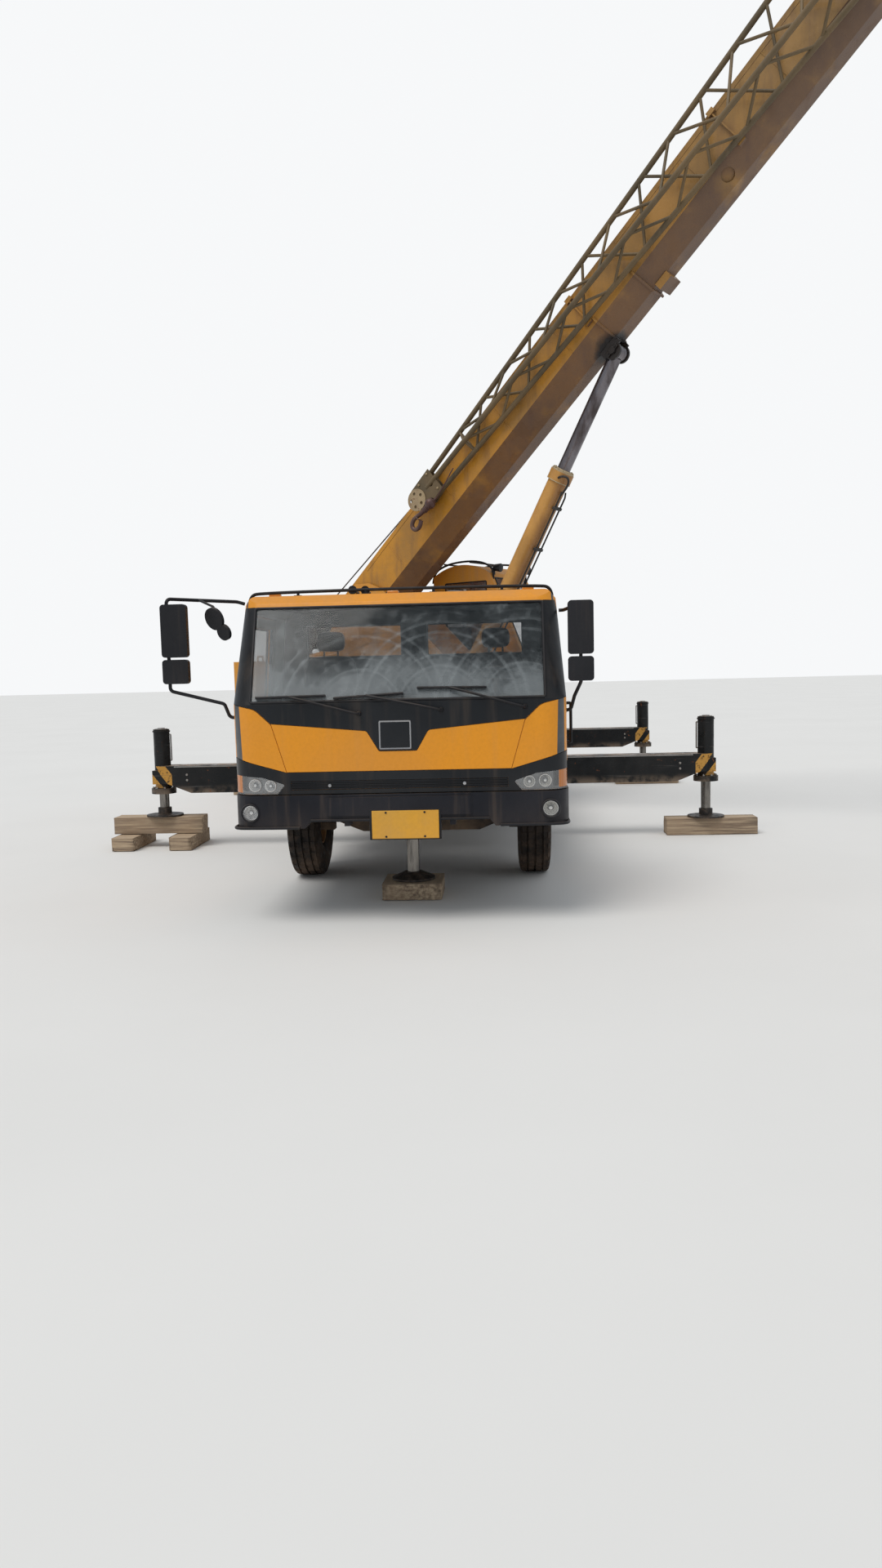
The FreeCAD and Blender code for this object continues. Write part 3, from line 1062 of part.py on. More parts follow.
def boom():
    base = boom_tube(0, s.boom_tail, s.boom_base_end, s.boom_wall)
    base = base.fuse(collar(0, s.boom_base_end - 160, s.boom_base_end, 22))
    saddle_start, saddle_end = s.luff_eye_s + 122, s.luff_eye_s + 760
    above = block(saddle_start - 100, saddle_end + 100, -500, 500, s.saddle_top, 600)
    base = base.fuse(collar(0, saddle_start, saddle_end, s.saddle_thick).cut(above))
    for place in (saddle_start, saddle_end):
        base = base.fuse(collar(0, place - 12, place + 12, s.saddle_thick + 24).cut(above))
    drum = block(saddle_end + 60, saddle_end + 240, -130, 130, s.boom_bottom - 90, s.boom_bottom + 3)
    base = base.fuse(drum)
    for place in (s.hatch_s, s.hatch_s + 2100):
        side_y, low_z = s.boom_half - s.boom_bevel_y / 2, s.boom_bottom + s.boom_bevel_z / 2
        for y in (-side_y, side_y):
            way = Vector(0, math.copysign(s.boom_bevel_z, y), -s.boom_bevel_y).normalize()
            base = base.cut(Part.makeCylinder(s.hatch_radius, 90, Vector(place, y, low_z) - way * 40, way))
    for y in (-1, 1):
        low, high = sorted((y * (s.eye_half + s.lug_gap), y * (s.eye_half + s.lug_gap + s.lug_thick)))
        lug = block(s.luff_eye_s - 130, s.luff_eye_s + 130, low, high, s.luff_eye_n, s.boom_bottom + 3)
        lug = lug.fuse(Part.makeCylinder(105, high - low, Vector(s.luff_eye_s, low, s.luff_eye_n), Vector(0, 1, 0)))
        base = base.fuse(lug)
    hub = Part.makeCylinder(s.foot_pin_radius + 35, 2 * (s.cheek_inner_y - 8), Vector(0, 8 - s.cheek_inner_y, 0), Vector(0, 1, 0))
    bore = Part.makeCylinder(s.foot_pin_radius + 0.3, 2000, Vector(0, -1000, 0), Vector(0, 1, 0))
    pin_half = s.eye_half + s.lug_gap + s.lug_thick + 12
    pin = Part.makeCylinder(s.luff_pin_radius, 2 * pin_half, Vector(s.luff_eye_s, -pin_half, s.luff_eye_n), Vector(0, 1, 0))
    base = base.fuse(hub).cut(bore).fuse(pin)
    # The stowed jib's brackets on the right side, each under its two near chords
    for place in (s.luff_eye_s + 60, s.luff_eye_s + 2400, s.jib_base_s - 500):
        high, out, low = jib_section(place)
        near = -s.boom_half - s.jib_gap + s.fit_gap
        for point in (high, low):
            base = base.fuse(block(place - 45, place + 45, near, -s.boom_half + 2,
                                   min(point.z, s.boom_top - 10) - 45, min(point.z + 30, s.boom_top)))
        base = base.fuse(block(place - 8, place + 8, near + 12, -s.boom_half + 2, low.z - 20, min(high.z, s.boom_top)))
    node("boom_base", shaped("boom_base_form", base.removeSplitter()), BOOM)
    for step in (1, 2, 3):
        end = s.boom_base_end + step * s.boom_head_step
        tube = boom_tube(step, s.section_tail, end, s.boom_wall - 2).multiFuse(slide_pads(step))
        if step < 3:
            tube = tube.fuse(collar(step, end - 110, end, 18))
            node("boom_section_%d" % (step + 1), shaped("boom_section_form_%d" % step, tube), BOOM)
            continue
        low_x, low_z = end + s.head_sheave_s, s.head_sheave_n
        rows = ((end - 60, s.boom_bottom + 3 * s.boom_nest + 4, 0), (end + 20, low_z - 20, 40),
                (low_x - 90, low_z - s.sheave_radius - 20, 60), (low_x + 120, low_z - s.sheave_radius - 20, 60),
                (low_x + 210, low_z + 60, 60), (end + 400, 60, 40), (end + 400, 330, 90),
                (end + 120, 330, 60), (end - 60, 168, 0))
        cheeks = [prism("XZ", rows, y, y + 20) for y in (-150, 130)]
        plug = block(end - 30, end, -200, 200, -320, 165)
        axle_low = Part.makeCylinder(40, 300, Vector(low_x, -150, low_z), Vector(0, 1, 0))
        axle_top = Part.makeCylinder(40, 300, Vector(end + 230, -150, 200), Vector(0, 1, 0))
        head = tube.fuse(plug)
        for piece in cheeks + [axle_low, axle_top]:
            head = head.fuse(piece)
        for x, z, radius in ((low_x, low_z, s.sheave_radius), (end + 230, 200, 140)):
            for y in (-80, 40):
                sheave = Part.makeCylinder(radius, 40, Vector(x, y, z), Vector(0, 1, 0))
                head = head.fuse(sheave)
        node("boom_head_section", shaped("boom_head_form", head.removeSplitter()), BOOM)


def head_axle():
    end = s.boom_base_end + 3 * s.boom_head_step
    return Vector(end + s.head_sheave_s, 0, s.head_sheave_n)


def luff_cylinder():
    barrel = Part.makeCylinder(s.barrel_radius, s.barrel_length - 80, Vector(80, 0, 0), Vector(1, 0, 0))
    gland = Part.makeCylinder(s.barrel_radius + 22, 120, Vector(s.barrel_length - 120, 0, 0), Vector(1, 0, 0))
    eye = Part.makeCylinder(s.eye_radius + 30, 200, Vector(0, -100, 0), Vector(0, 1, 0))
    neck = block(0, 90, -90, 90, -90, 90)
    bore = Part.makeCylinder(s.luff_rod_radius + s.fit_gap, s.barrel_length, Vector(200, 0, 0), Vector(1, 0, 0))
    # The linkage is open here: the foot's pin rides with the barrel and stops short of the turntable's cheeks
    pin_half = s.cheek_inner_y - s.open_pin_gap
    pin = Part.makeCylinder(s.luff_pin_radius, 2 * pin_half, Vector(0, -pin_half, 0), Vector(0, 1, 0))
    sleeve = Part.makeCylinder(s.luff_pin_radius + 14, 2 * pin_half - 90, Vector(0, 45 - pin_half, 0), Vector(0, 1, 0))
    barrel = barrel.multiFuse([gland, eye, neck, sleeve, pin]).cut(bore)
    node("luff_barrel", shaped("luff_barrel_form", barrel), CYLINDER)
    reach = CYLINDER_REACH
    start = reach - s.luff_rod_length
    bar = Part.makeCylinder(s.luff_rod_radius, reach - start - 60, Vector(start, 0, 0), Vector(1, 0, 0))
    eye = Part.makeCylinder(s.eye_radius + 18, 2 * s.eye_half, Vector(reach, -s.eye_half, 0), Vector(0, 1, 0))
    pin_bore = Part.makeCylinder(s.luff_pin_radius + 0.3, 400, Vector(reach, -200, 0), Vector(0, 1, 0))
    node("luff_rod", shaped("luff_rod_form", bar.fuse(eye).cut(pin_bore)), CYLINDER)


def hook_block():
    """Rope falls, hook block and hook, hanging plumb from the lower sheaves of the head."""
    axle = BOOM.multVec(head_axle())
    falls = []
    for y in (-60, 60):
        for x in (-s.sheave_radius - 9 - s.fit_gap, s.sheave_radius + 9 + s.fit_gap):
            falls.append(Part.makeCylinder(9, s.hook_drop, Vector(x, y, -s.hook_drop), Vector(0, 0, 1)))
    body = block(-s.sheave_radius - 40, s.sheave_radius + 40, -100, 100, -s.hook_drop - 420, -s.hook_drop + 30)
    shank = Part.makeCylinder(38, 160, Vector(0, 0, -s.hook_drop - 540), Vector(0, 0, 1))
    ring = Part.makeTorus(95, 34, Vector(0, 0, -s.hook_drop - 640), Vector(0, 1, 0))
    opening = block(-160, -20, -60, 60, -s.hook_drop - 640, -s.hook_drop - 570)
    hook = body.multiFuse(falls + [shank, ring.cut(opening)])
    node("hook_block", shaped("hook_form", hook),
         Placement(axle, Rotation(Vector(0, 0, 1), s.heading)))


def jib():
    """The lattice fly jib stowed along the boom's right side: three chords, and a zigzag of braces in each face."""
    bays = 14
    first, last = s.jib_tip_s + s.jib_head_long, s.jib_base_s
    step = (last - first) / bays
    stations = [jib_section(first + i * step) for i in range(bays + 1)]

    def bar(a, b, radius):
        way = b - a
        return Part.makeCylinder(radius, way.Length, a, way)

    solids = []
    for c in range(3):
        solids.append(bar(jib_section(s.jib_tip_s)[c], stations[-1][c], s.chord_radius))
    ease = Vector(s.chord_radius, 0, 0)
    for i in range(bays):
        for c in range(3):
            a, b = (c, (c + 1) % 3) if i % 2 == 0 else ((c + 1) % 3, c)
            solids.append(bar(stations[i][a] + ease, stations[i + 1][b] - ease, s.brace_radius))
    for c in range(3):
        solids.append(bar(stations[-1][c], stations[-1][(c + 1) % 3], s.brace_radius + 6))
        solids.append(bar(stations[0][c], stations[0][(c + 1) % 3], s.brace_radius))
    form = solids[0].multiFuse(solids[1:])
    # The head: two cheeks with the sheave between them, and a hook that hangs from it
    upper, outer, lower = jib_section(s.jib_tip_s)
    middle = (upper + lower) * 0.5
    near, far = upper.y + 20, outer.y - 20
    rows = ((s.jib_tip_s - 330, middle.z - 60, 110), (s.jib_tip_s - 40, middle.z - 190, 60),
            (s.jib_tip_s + 180, lower.z - 30, 0), (s.jib_tip_s + 180, upper.z + 30, 0),
            (s.jib_tip_s - 240, upper.z + 20, 110))
    for y in (near - 16, far):
        cheek = prism("XZ", rows, y, y + 16)
        cheek = cheek.cut(Part.makeCylinder(38, 40, Vector(s.jib_tip_s + 90, y - 5, middle.z), Vector(0, 1, 0)))
        form = form.fuse(cheek)
    centre = Vector(s.jib_tip_s - 200, far, middle.z + 10)
    form = form.fuse(Part.makeCylinder(28, near - far, centre, Vector(0, 1, 0)))
    groove = Part.makeCylinder(s.jib_sheave_radius, 36, Vector(centre.x, (near + far) / 2 - 18, centre.z), Vector(0, 1, 0))
    form = form.fuse(groove)
    node("jib_lattice", shaped("jib_form", form), BOOM)


def build():
    chassis()
    deck()
    running_gear()
    side_boxes()
    front_bumper()
    headlamp = driver_cab()
    cab_inside()
    lamps(headlamp)
    mirrors()
    wheels()
    knuckles()
    outriggers()
    timbers()
    turntable()
    winches()
    crane_cab()
    boom()
    luff_cylinder()
    hook_block()
    jib()


def check_and_write():
    doc.recompute()
    for obj in doc.Objects:
        bad = {"Invalid", "Error"} & set(obj.State)
        if bad:
            raise RuntimeError("%s is %s" % (obj.Label, sorted(bad)))
    os.makedirs("parts", exist_ok=True)
    for piece in NODES:
        if piece.Shape.isNull() or not piece.Shape.isValid():
            raise RuntimeError("%s has no valid shape" % piece.Label)
        print(piece.Label, len(piece.Shape.Solids), "solids", round(piece.Shape.Volume / 1e9, 4), "m3")
    for piece in NODES:
        piece.Shape.exportStep("parts/%s.step" % piece.Label)


build()
check_and_write()
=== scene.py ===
# %% [markdown]
# # A truck-mounted telescopic crane, dressed over its construction model
# The construction model gives every size and every moving body. It comes in as a fixed frame,
# and this lesson gives it paint, dirt, rubber, glass and the small fittings that a drawing
# leaves out.

# %% Load the frame
import json
import math

import bpy
from mathutils import Matrix, Vector

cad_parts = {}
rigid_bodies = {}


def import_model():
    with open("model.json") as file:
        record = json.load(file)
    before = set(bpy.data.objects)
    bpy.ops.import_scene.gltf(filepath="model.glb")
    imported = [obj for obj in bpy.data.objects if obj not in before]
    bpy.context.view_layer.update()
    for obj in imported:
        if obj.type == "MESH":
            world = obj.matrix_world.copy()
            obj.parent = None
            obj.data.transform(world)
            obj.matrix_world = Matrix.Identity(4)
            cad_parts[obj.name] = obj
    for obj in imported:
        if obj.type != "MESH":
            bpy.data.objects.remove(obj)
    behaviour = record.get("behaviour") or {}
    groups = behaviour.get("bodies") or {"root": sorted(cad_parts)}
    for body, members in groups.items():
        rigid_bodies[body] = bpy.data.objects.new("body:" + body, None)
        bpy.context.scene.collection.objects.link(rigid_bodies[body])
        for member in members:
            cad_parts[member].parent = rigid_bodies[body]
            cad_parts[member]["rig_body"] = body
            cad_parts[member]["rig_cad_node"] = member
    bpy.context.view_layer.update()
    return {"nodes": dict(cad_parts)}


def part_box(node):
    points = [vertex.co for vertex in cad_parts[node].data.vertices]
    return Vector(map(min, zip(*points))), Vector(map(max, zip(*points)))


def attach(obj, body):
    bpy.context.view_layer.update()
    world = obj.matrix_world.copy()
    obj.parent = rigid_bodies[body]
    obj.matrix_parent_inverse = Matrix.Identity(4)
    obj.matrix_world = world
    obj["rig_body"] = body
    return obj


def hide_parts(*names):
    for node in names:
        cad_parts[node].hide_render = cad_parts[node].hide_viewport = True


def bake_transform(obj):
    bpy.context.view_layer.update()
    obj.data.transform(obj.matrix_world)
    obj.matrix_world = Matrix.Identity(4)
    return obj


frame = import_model()
NODES = frame["nodes"]

# %% [markdown]
# ## Camera
# The photograph was taken standing in front of the truck with a phone held upright. The
# camera's place and turn were found from points that are known on both the truck and the
# picture. The turn is given as the three directions of the camera.

# %% Make the camera
EYE = Vector((14.915, 0.765, 1.865))
RIGHT = Vector((-0.05441783, 0.99822411, -0.02423495))
UP = Vector((-0.10334098, 0.0185103, 0.99447374))
AHEAD = Vector((-0.99315625, -0.05662157, -0.10215016))
FOCAL_PIXELS = 1347.5
PHOTO_HEIGHT = 1920

view = bpy.data.cameras.new("photo_camera")
view.sensor_width = 36
view.lens = FOCAL_PIXELS / PHOTO_HEIGHT * view.sensor_width
view.clip_end = 400
camera = bpy.data.objects.new("photo_camera", view)
camera.matrix_world = Matrix.Translation(EYE) @ Matrix((RIGHT, UP, -AHEAD)).transposed().to_4x4()
bpy.context.scene.collection.objects.link(camera)
bpy.context.scene.camera = camera
print("lens %.2f mm" % view.lens)

# %% [markdown]
# ## Selecting and finishing
# Blender's operators act on what is selected, so each step begins by clearing the selection.
# These helpers add a primitive at its place, work on faces picked by where they are or which
# way they look, apply a modifier, and hand a finished piece to the body that carries it.

# %% Helpers for modelling
SMALL_GAP = 0.00005


def alone(piece):
    """Select one object and nothing else."""
    bpy.ops.object.select_all(action="DESELECT")
    piece.select_set(True)
    bpy.context.view_layer.objects.active = piece
    return piece


def added(operator, scale=(1, 1, 1), **settings):
    """Add a primitive with nothing else selected, and put its place into its mesh."""
    bpy.ops.object.select_all(action="DESELECT")
    operator(**settings)
    bpy.context.object.scale = scale
    bpy.ops.object.transform_apply(location=True, rotation=True, scale=True)
    return bpy.context.object


def applied(piece, kind, **settings):
    """Add a modifier, set it, and apply it."""
    alone(piece)
    modifier = piece.modifiers.new(kind.lower(), kind)
    for key, value in settings.items():
        setattr(modifier, key, value)
    bpy.ops.object.modifier_apply(modifier=modifier.name)
    return piece


def rounded(piece, width, segments=2):
    """Round the edges between faces that meet at an angle."""
    if not width:
        return piece
    return applied(piece, "BEVEL", width=width, segments=segments, limit_method="ANGLE", angle_limit=math.radians(35))


def block(low, high, edge=0, segments=2):
    """A box between two opposite corners. Its edges are rounded when edge is given."""
    low, high = (Vector([pick(pair) for pair in zip(low, high)]) for pick in (min, max))
    box = added(bpy.ops.mesh.primitive_cube_add, high - low, size=1, location=(low + high) / 2)
    return rounded(box, edge, segments)


def bar(start, end, radius, sides=16, edge=0, segments=2, tip=None):
    """A round bar between two points, or a taper when tip is given."""
    start, end = Vector(start), Vector(end)
    turn = (end - start).to_track_quat("Z", "Y").to_euler()
    rod = added(bpy.ops.mesh.primitive_cone_add, vertices=sides, radius1=radius, radius2=tip or radius,
                depth=(end - start).length, location=(start + end) / 2, rotation=turn)
    return rounded(rod, edge, segments)


def anywhere(centre, normal):
    """The test that every face passes."""
    return True


def picked(piece, test):
    """Select the faces whose middle and normal pass the test, or that look in a direction, in edit mode."""
    alone(piece)
    mesh = piece.data
    for part in (*mesh.vertices, *mesh.edges):
        part.select = False
    for face in mesh.polygons:
        passed = test(face.center, face.normal) if callable(test) else face.normal.dot(Vector(test)) > 0.9
        face.select = bool(passed)
    bpy.context.tool_settings.mesh_select_mode = (False, False, True)
    bpy.ops.object.mode_set(mode="EDIT")


def worked(piece, test, *steps):
    """Pick faces, then inset them, pull them out, move them or divide them, in steps."""
    picked(piece, test)
    for kind, amount in steps:
        if kind == "inset":
            bpy.ops.mesh.inset(thickness=amount)
        elif kind == "pull":
            bpy.ops.mesh.extrude_region_move(TRANSFORM_OT_translate={"value": amount})
        elif kind == "move":
            bpy.ops.transform.translate(value=amount)
        elif kind == "divide":
            bpy.ops.mesh.subdivide(number_cuts=amount)
    bpy.ops.object.mode_set(mode="OBJECT")
    return piece


def moved(piece, *turns):
    """Move a piece's mesh by one matrix after the other."""
    for turn in turns:
        piece.data.transform(turn)
    return piece


def at(x, y, z):
    """The matrix that moves a piece by so much."""
    return Matrix.Translation((x, y, z))


def copy_of(piece, turn=Matrix()):
    """A copy with its own mesh, moved by a matrix."""
    twin = piece.copy()
    twin.data = piece.data.copy()
    bpy.context.scene.collection.objects.link(twin)
    return moved(twin, turn)


def merged(pieces):
    """Several objects made into one."""
    alone(pieces[0])
    for piece in pieces:
        piece.select_set(True)
    if len(pieces) > 1:
        bpy.ops.object.join()
    return pieces[0]


def outward(piece):
    """Merge doubles and make every face look outwards."""
    alone(piece)
    bpy.ops.object.mode_set(mode="EDIT")
    bpy.ops.mesh.select_all(action="SELECT")
    bpy.ops.mesh.remove_doubles(threshold=SMALL_GAP)
    bpy.ops.mesh.normals_make_consistent(inside=False)
    bpy.ops.object.mode_set(mode="OBJECT")
    return piece


def from_frame(node):
    """A copy of one of the frame's nodes that no longer counts as the frame's."""
    piece = copy_of(NODES[node])
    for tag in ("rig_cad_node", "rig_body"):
        if tag in piece:
            del piece[tag]
    piece.parent = None
    return outward(piece)


def ready(name, body, finish, parts, turn=Matrix(), instead=(), smooth=35):
    """Join the parts, and give the piece its finish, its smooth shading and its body."""
    piece = moved(merged(parts), turn)
    piece.name = name
    piece.data.materials.clear()
    piece.data.materials.append(finish)
    alone(piece)
    bpy.ops.object.shade_smooth_by_angle(angle=math.radians(smooth))
    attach(piece, body)
    if instead:
        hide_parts(*instead)
    print("%s: %d faces on %s" % (name, len(piece.data.polygons), body))
    return piece


# %% [markdown]
# ## Finishes
# Real paint on a working crane is never one colour: the sun has faded it in broad patches,
# stones have chipped it, rain has drawn dust down it, and earth lies on whatever faces up or
# is near the ground. One recipe of nodes makes all of that, and each finish turns its amounts
# up or down. Every pattern is placed on the object's own coordinates, so it stays on the
# steel when a body moves.

# %% Small helpers for shader nodes
class Value:
    """What comes out of a node. It is added, multiplied and compared like a plain number."""

    def __init__(self, recipe, socket):
        self.recipe, self.socket = recipe, socket

    def math(self, kind, other=0.0):
        return self.recipe.node("Math", {0: self, 1: other}, operation=kind)

    def __rsub__(self, other):
        return self.recipe.node("Math", {0: other, 1: self}, operation="SUBTRACT")

    def __add__(self, other):
        return self.math("ADD", other)

    def __sub__(self, other):
        return self.math("SUBTRACT", other)

    def __mul__(self, other):
        return self.math("MULTIPLY", other)

    def __gt__(self, other):
        return self.math("GREATER_THAN", other)

    def __lt__(self, other):
        return self.math("LESS_THAN", other)

    def __abs__(self):
        return self.math("ABSOLUTE")

    def band(self, low, high, top=1.0):
        """0 below low, top above high, smooth between."""
        return self.recipe.node("MapRange", {"Value": self, "From Min": low, "From Max": high, "To Max": top},
                                interpolation_type="SMOOTHSTEP")


class Recipe:
    """A material being built, with short calls for the nodes that the recipes share."""

    def __init__(self, name):
        self.material = bpy.data.materials.new(name)
        self.material.use_nodes = True
        self.tree = self.material.node_tree
        self.place = self.node("TexCoord", out="Object")
        self.x, self.y, self.z = (self.node("SeparateXYZ", {0: self.place}, out=way) for way in "XYZ")
        self.up = self.along((0, 0, 1), "Normal")

    def feed(self, socket, value):
        """Link a node's value to an input, or set the input to a plain number or colour."""
        if isinstance(value, Value):
            self.tree.links.new(value.socket, socket)
        elif isinstance(value, tuple) and socket.type == "RGBA":
            socket.default_value = (*value, 1)
        else:
            socket.default_value = value

    def node(self, kind, inputs=None, out=0, **settings):
        """Add a node, set it, feed its inputs, and give back one of its outputs."""
        node = self.tree.nodes.new("ShaderNode" + kind)
        for key, value in settings.items():
            setattr(node, key, value)
        for key, value in (inputs or {}).items():
            self.feed(node.inputs[key], value)
        return Value(self, node.outputs[out])

    def noise(self, scale, detail=4, rough=0.55, where=None):
        return self.node("TexNoise", {"Vector": where or self.place, "Scale": scale, "Detail": detail,
                                      "Roughness": rough})

    def stretched(self, *scale):
        return self.node("Mapping", {"Vector": self.place, "Scale": scale})

    def drawn_out(self, detail, rough, *scale):
        """A noise stretched along the axes whose scale is small."""
        return self.noise(1.0, detail, rough, self.stretched(*scale))

    def mix(self, amount, first, second):
        return self.node("Mix", {0: amount, 6: first, 7: second}, 2, data_type="RGBA")

    def along(self, direction, source="Object", start=(0, 0, 0)):
        """The place, or the normal, measured along a direction from a starting point."""
        share = self.node("VectorMath", {0: self.node("TexCoord", out=source), 1: tuple(direction)}, "Value",
                          operation="DOT_PRODUCT")
        return share - Vector(start).dot(Vector(direction))

    def away_from(self, point, where=None):
        return self.node("VectorMath", {0: where or self.place, 1: tuple(point)}, "Value", operation="DISTANCE")

    def bump(self, height, depth):
        self.set(Normal=self.node("Bump", {"Strength": 1.0, "Distance": depth, "Height": height}))
        return self.material

    def set(self, **sockets):
        for key, value in sockets.items():
            self.feed(self.tree.nodes["Principled BSDF"].inputs[key.replace("_", " ")], value)


# %% [markdown]
# The one recipe for painted and bare steel. `fade` is the colour that the sun and the dirt
# leave in broad patches, `chip` shows in small specks, `dust` is how much earth lies on it.
# Earth lies where the surface faces up, and thins out with height above `splash`, in metres.
# `streak` draws rain marks down the sides by stretching a noise along the vertical.

# %% The recipe for weathered steel
EARTH = (0.34, 0.235, 0.155)
RUST = (0.16, 0.055, 0.022)


def shade(colour, share):
    """A darker tone of a colour."""
    return tuple(share * c for c in colour)


def steel(name, tone, fade, chip=RUST, metal=0.0, rough=0.45, dust=0.5, splash=1.3, chips=0.72, streak=0.35,
          pits=0.0006, coat=0.0, scale=1.0, gloss=0.35, tread=0.0, lining=None):
    make = Recipe(name)
    colour = make.mix(make.noise(0.9 * scale, 5).band(0.38, 0.68), tone, fade)
    colour = make.mix(make.noise(38 * scale, 3, 0.7).band(0.35, 0.75, 0.16), colour, shade(tone, 0.55))
    rain = make.drawn_out(3, 0.6, 9 * scale, 9 * scale, 0.7 * scale).band(0.5, 0.78, streak)
    colour = make.mix(rain, colour, tuple((a + b) / 2 for a, b in zip(fade, EARTH)))
    specks = make.noise(24 * scale, 6, 0.72).band(chips, chips + 0.04)
    colour = make.mix(specks, colour, chip)
    lies = (1.0 - make.z.band(0.15, splash)).math("MAXIMUM", make.up.band(0.15, 0.95))
    cover = lies * make.noise(3.2 * scale, 6, 0.65).band(0.28, 0.7) * dust
    colour = make.mix(cover, colour, EARTH)
    if lining:
        colour = lining(make, colour)
    shine = (make.noise(6 * scale, 4) + cover).band(0.2, 1.3, 0.5)
    make.set(Base_Color=colour, Metallic=metal, Roughness=shine + (rough - 0.15), Coat_Weight=coat,
             Coat_Roughness=0.25, Specular_IOR_Level=gloss)
    height = make.noise(55 * scale, 5, 0.7) + specks * -0.8
    if tread:
        across, back = (((make.x + make.y) * 105).math("SINE"), ((make.x - make.y) * 105).math("SINE"))
        height = height + (across * back).band(0.25, 0.7) * tread
    return make.bump(height, pits)


def cab_lining(make, colour):
    """Grey trim wherever the surface lies inside the cab's walls, roof and front."""
    lean = (make.z - 1.65).math("MAXIMUM", 0.0)
    beside = abs(make.y) + lean * 0.074 < 1.218
    behind = make.x + lean * 0.455 < 6.880
    inner = beside * behind * (make.x > 5.092) * (make.z < 2.440) * (make.z > 1.02)
    grey = make.mix(make.noise(5, 4).band(0.35, 0.7), (0.060, 0.066, 0.072), (0.095, 0.100, 0.105))
    return make.mix(inner, colour, grey)


YELLOW = steel("cab_yellow_paint", (0.79, 0.300, 0.012), (0.72, 0.285, 0.028), dust=0.26, splash=1.15, chips=0.76,
               rough=0.42, coat=0.05, streak=0.14, gloss=0.3, lining=cab_lining)
TRIM = steel("black_trim_panel", (0.008, 0.010, 0.013), (0.015, 0.017, 0.020), (0.10, 0.10, 0.11), dust=0.12,
             rough=0.42, streak=0.16, coat=0.05, gloss=0.22)
BUMPER = steel("dusty_bumper", (0.007, 0.008, 0.013), (0.018, 0.018, 0.023), (0.12, 0.10, 0.09), dust=0.3,
               splash=0.98, rough=0.5, streak=0.3, gloss=0.22)
CHASSIS = steel("chassis_grey", (0.045, 0.046, 0.05), (0.075, 0.07, 0.065), dust=0.75, splash=1.25, rough=0.6,
                chips=0.68)
DECK = steel("deck_plate_grey", (0.07, 0.072, 0.078), (0.11, 0.105, 0.10), dust=0.8, splash=1.4, rough=0.55,
             chips=0.66, pits=0.0015, tread=0.9)
HOUSE_YELLOW = steel("superstructure_yellow", (0.66, 0.285, 0.035), (0.55, 0.25, 0.06), splash=1.6, chips=0.7,
                     rough=0.5, streak=0.5)
BALLAST = steel("ballast_yellow", (0.62, 0.27, 0.035), (0.50, 0.23, 0.06), dust=0.4, splash=1.4, chips=0.68,
                rough=0.6, streak=0.6, pits=0.0015)
WINCH = steel("winch_iron", (0.10, 0.085, 0.07), (0.15, 0.11, 0.08), metal=0.5, dust=0.4, splash=0.3, rough=0.5,
              chips=0.6)
IRON = steel("engine_iron_grey", (0.10, 0.105, 0.11), (0.15, 0.14, 0.125), metal=0.4, dust=0.7, rough=0.6, chips=0.62)
AXLE = steel("axle_black", (0.03, 0.03, 0.032), (0.06, 0.052, 0.045), dust=0.9, splash=1.2, rough=0.7, chips=0.66,
             pits=0.0012)
RIM = steel("rim_paint", (0.50, 0.23, 0.05), (0.36, 0.19, 0.075), dust=0.75, splash=1.2, rough=0.6, chips=0.64)
JIB = steel("jib_olive_steel", (0.10, 0.075, 0.042), (0.17, 0.115, 0.055), dust=0.2, splash=0.2, chips=0.63,
            rough=0.6, streak=0.2, scale=1.6)
PLASTIC = steel("mirror_black_plastic", (0.009, 0.0095, 0.012), (0.018, 0.018, 0.021), (0.08, 0.08, 0.08),
                dust=0.14, splash=0.2, rough=0.48, chips=0.78, streak=0.12, gloss=0.25)
INSIDE = steel("cab_inside_plastic", (0.040, 0.044, 0.050), (0.085, 0.088, 0.090), (0.14, 0.13, 0.12), dust=0.35,
               splash=0.3, rough=0.62, chips=0.76, streak=0.05)
BARE = steel("worn_bare_steel", (0.36, 0.35, 0.34), (0.24, 0.215, 0.19), metal=0.85, dust=0.4, splash=0.7,
             rough=0.38, chips=0.66, streak=0.3)
print("steel finishes", len(bpy.data.materials))

# %% [markdown]
# ## Finishes that know where they are
# Some finishes change along a piece. The boom's paint is bright beside the foot and dull and
# brown towards the head, and its underside is darkened with painted shade, in blotches. The
# outrigger beams are black with a painted hazard band at their ends. Both are made by
# measuring the place along a direction, which is a dot product.

# %% The boom's paint and the outriggers' hazard bands
HEADING, LUFF = math.radians(57.0), math.radians(41.7)
HOUSE_TURN = Matrix.Rotation(HEADING, 4, "Z")
FOOT = Vector((-1.1 * math.cos(HEADING), -1.1 * math.sin(HEADING), 2.93))
ALONG = Vector((math.cos(LUFF) * math.cos(HEADING), math.cos(LUFF) * math.sin(HEADING), math.sin(LUFF)))
LEFT = Vector((-math.sin(HEADING), math.cos(HEADING), 0))
OVER = ALONG.cross(LEFT)


def set_out(start, ahead, left):
    """The matrix that lays a piece out from a start, with its X ahead and its Y to the left."""
    return Matrix.Translation(start) @ Matrix((ahead, left, ahead.cross(left))).transposed().to_4x4()


TO_BOOM = set_out(FOOT, ALONG, LEFT)


def on_boom(s, y, n):
    """A point in the truck's frame from its place along, across and over the boom."""
    return FOOT + ALONG * s + LEFT * y + OVER * n


ROD_EYE = on_boom(4.51, 0, -0.50)


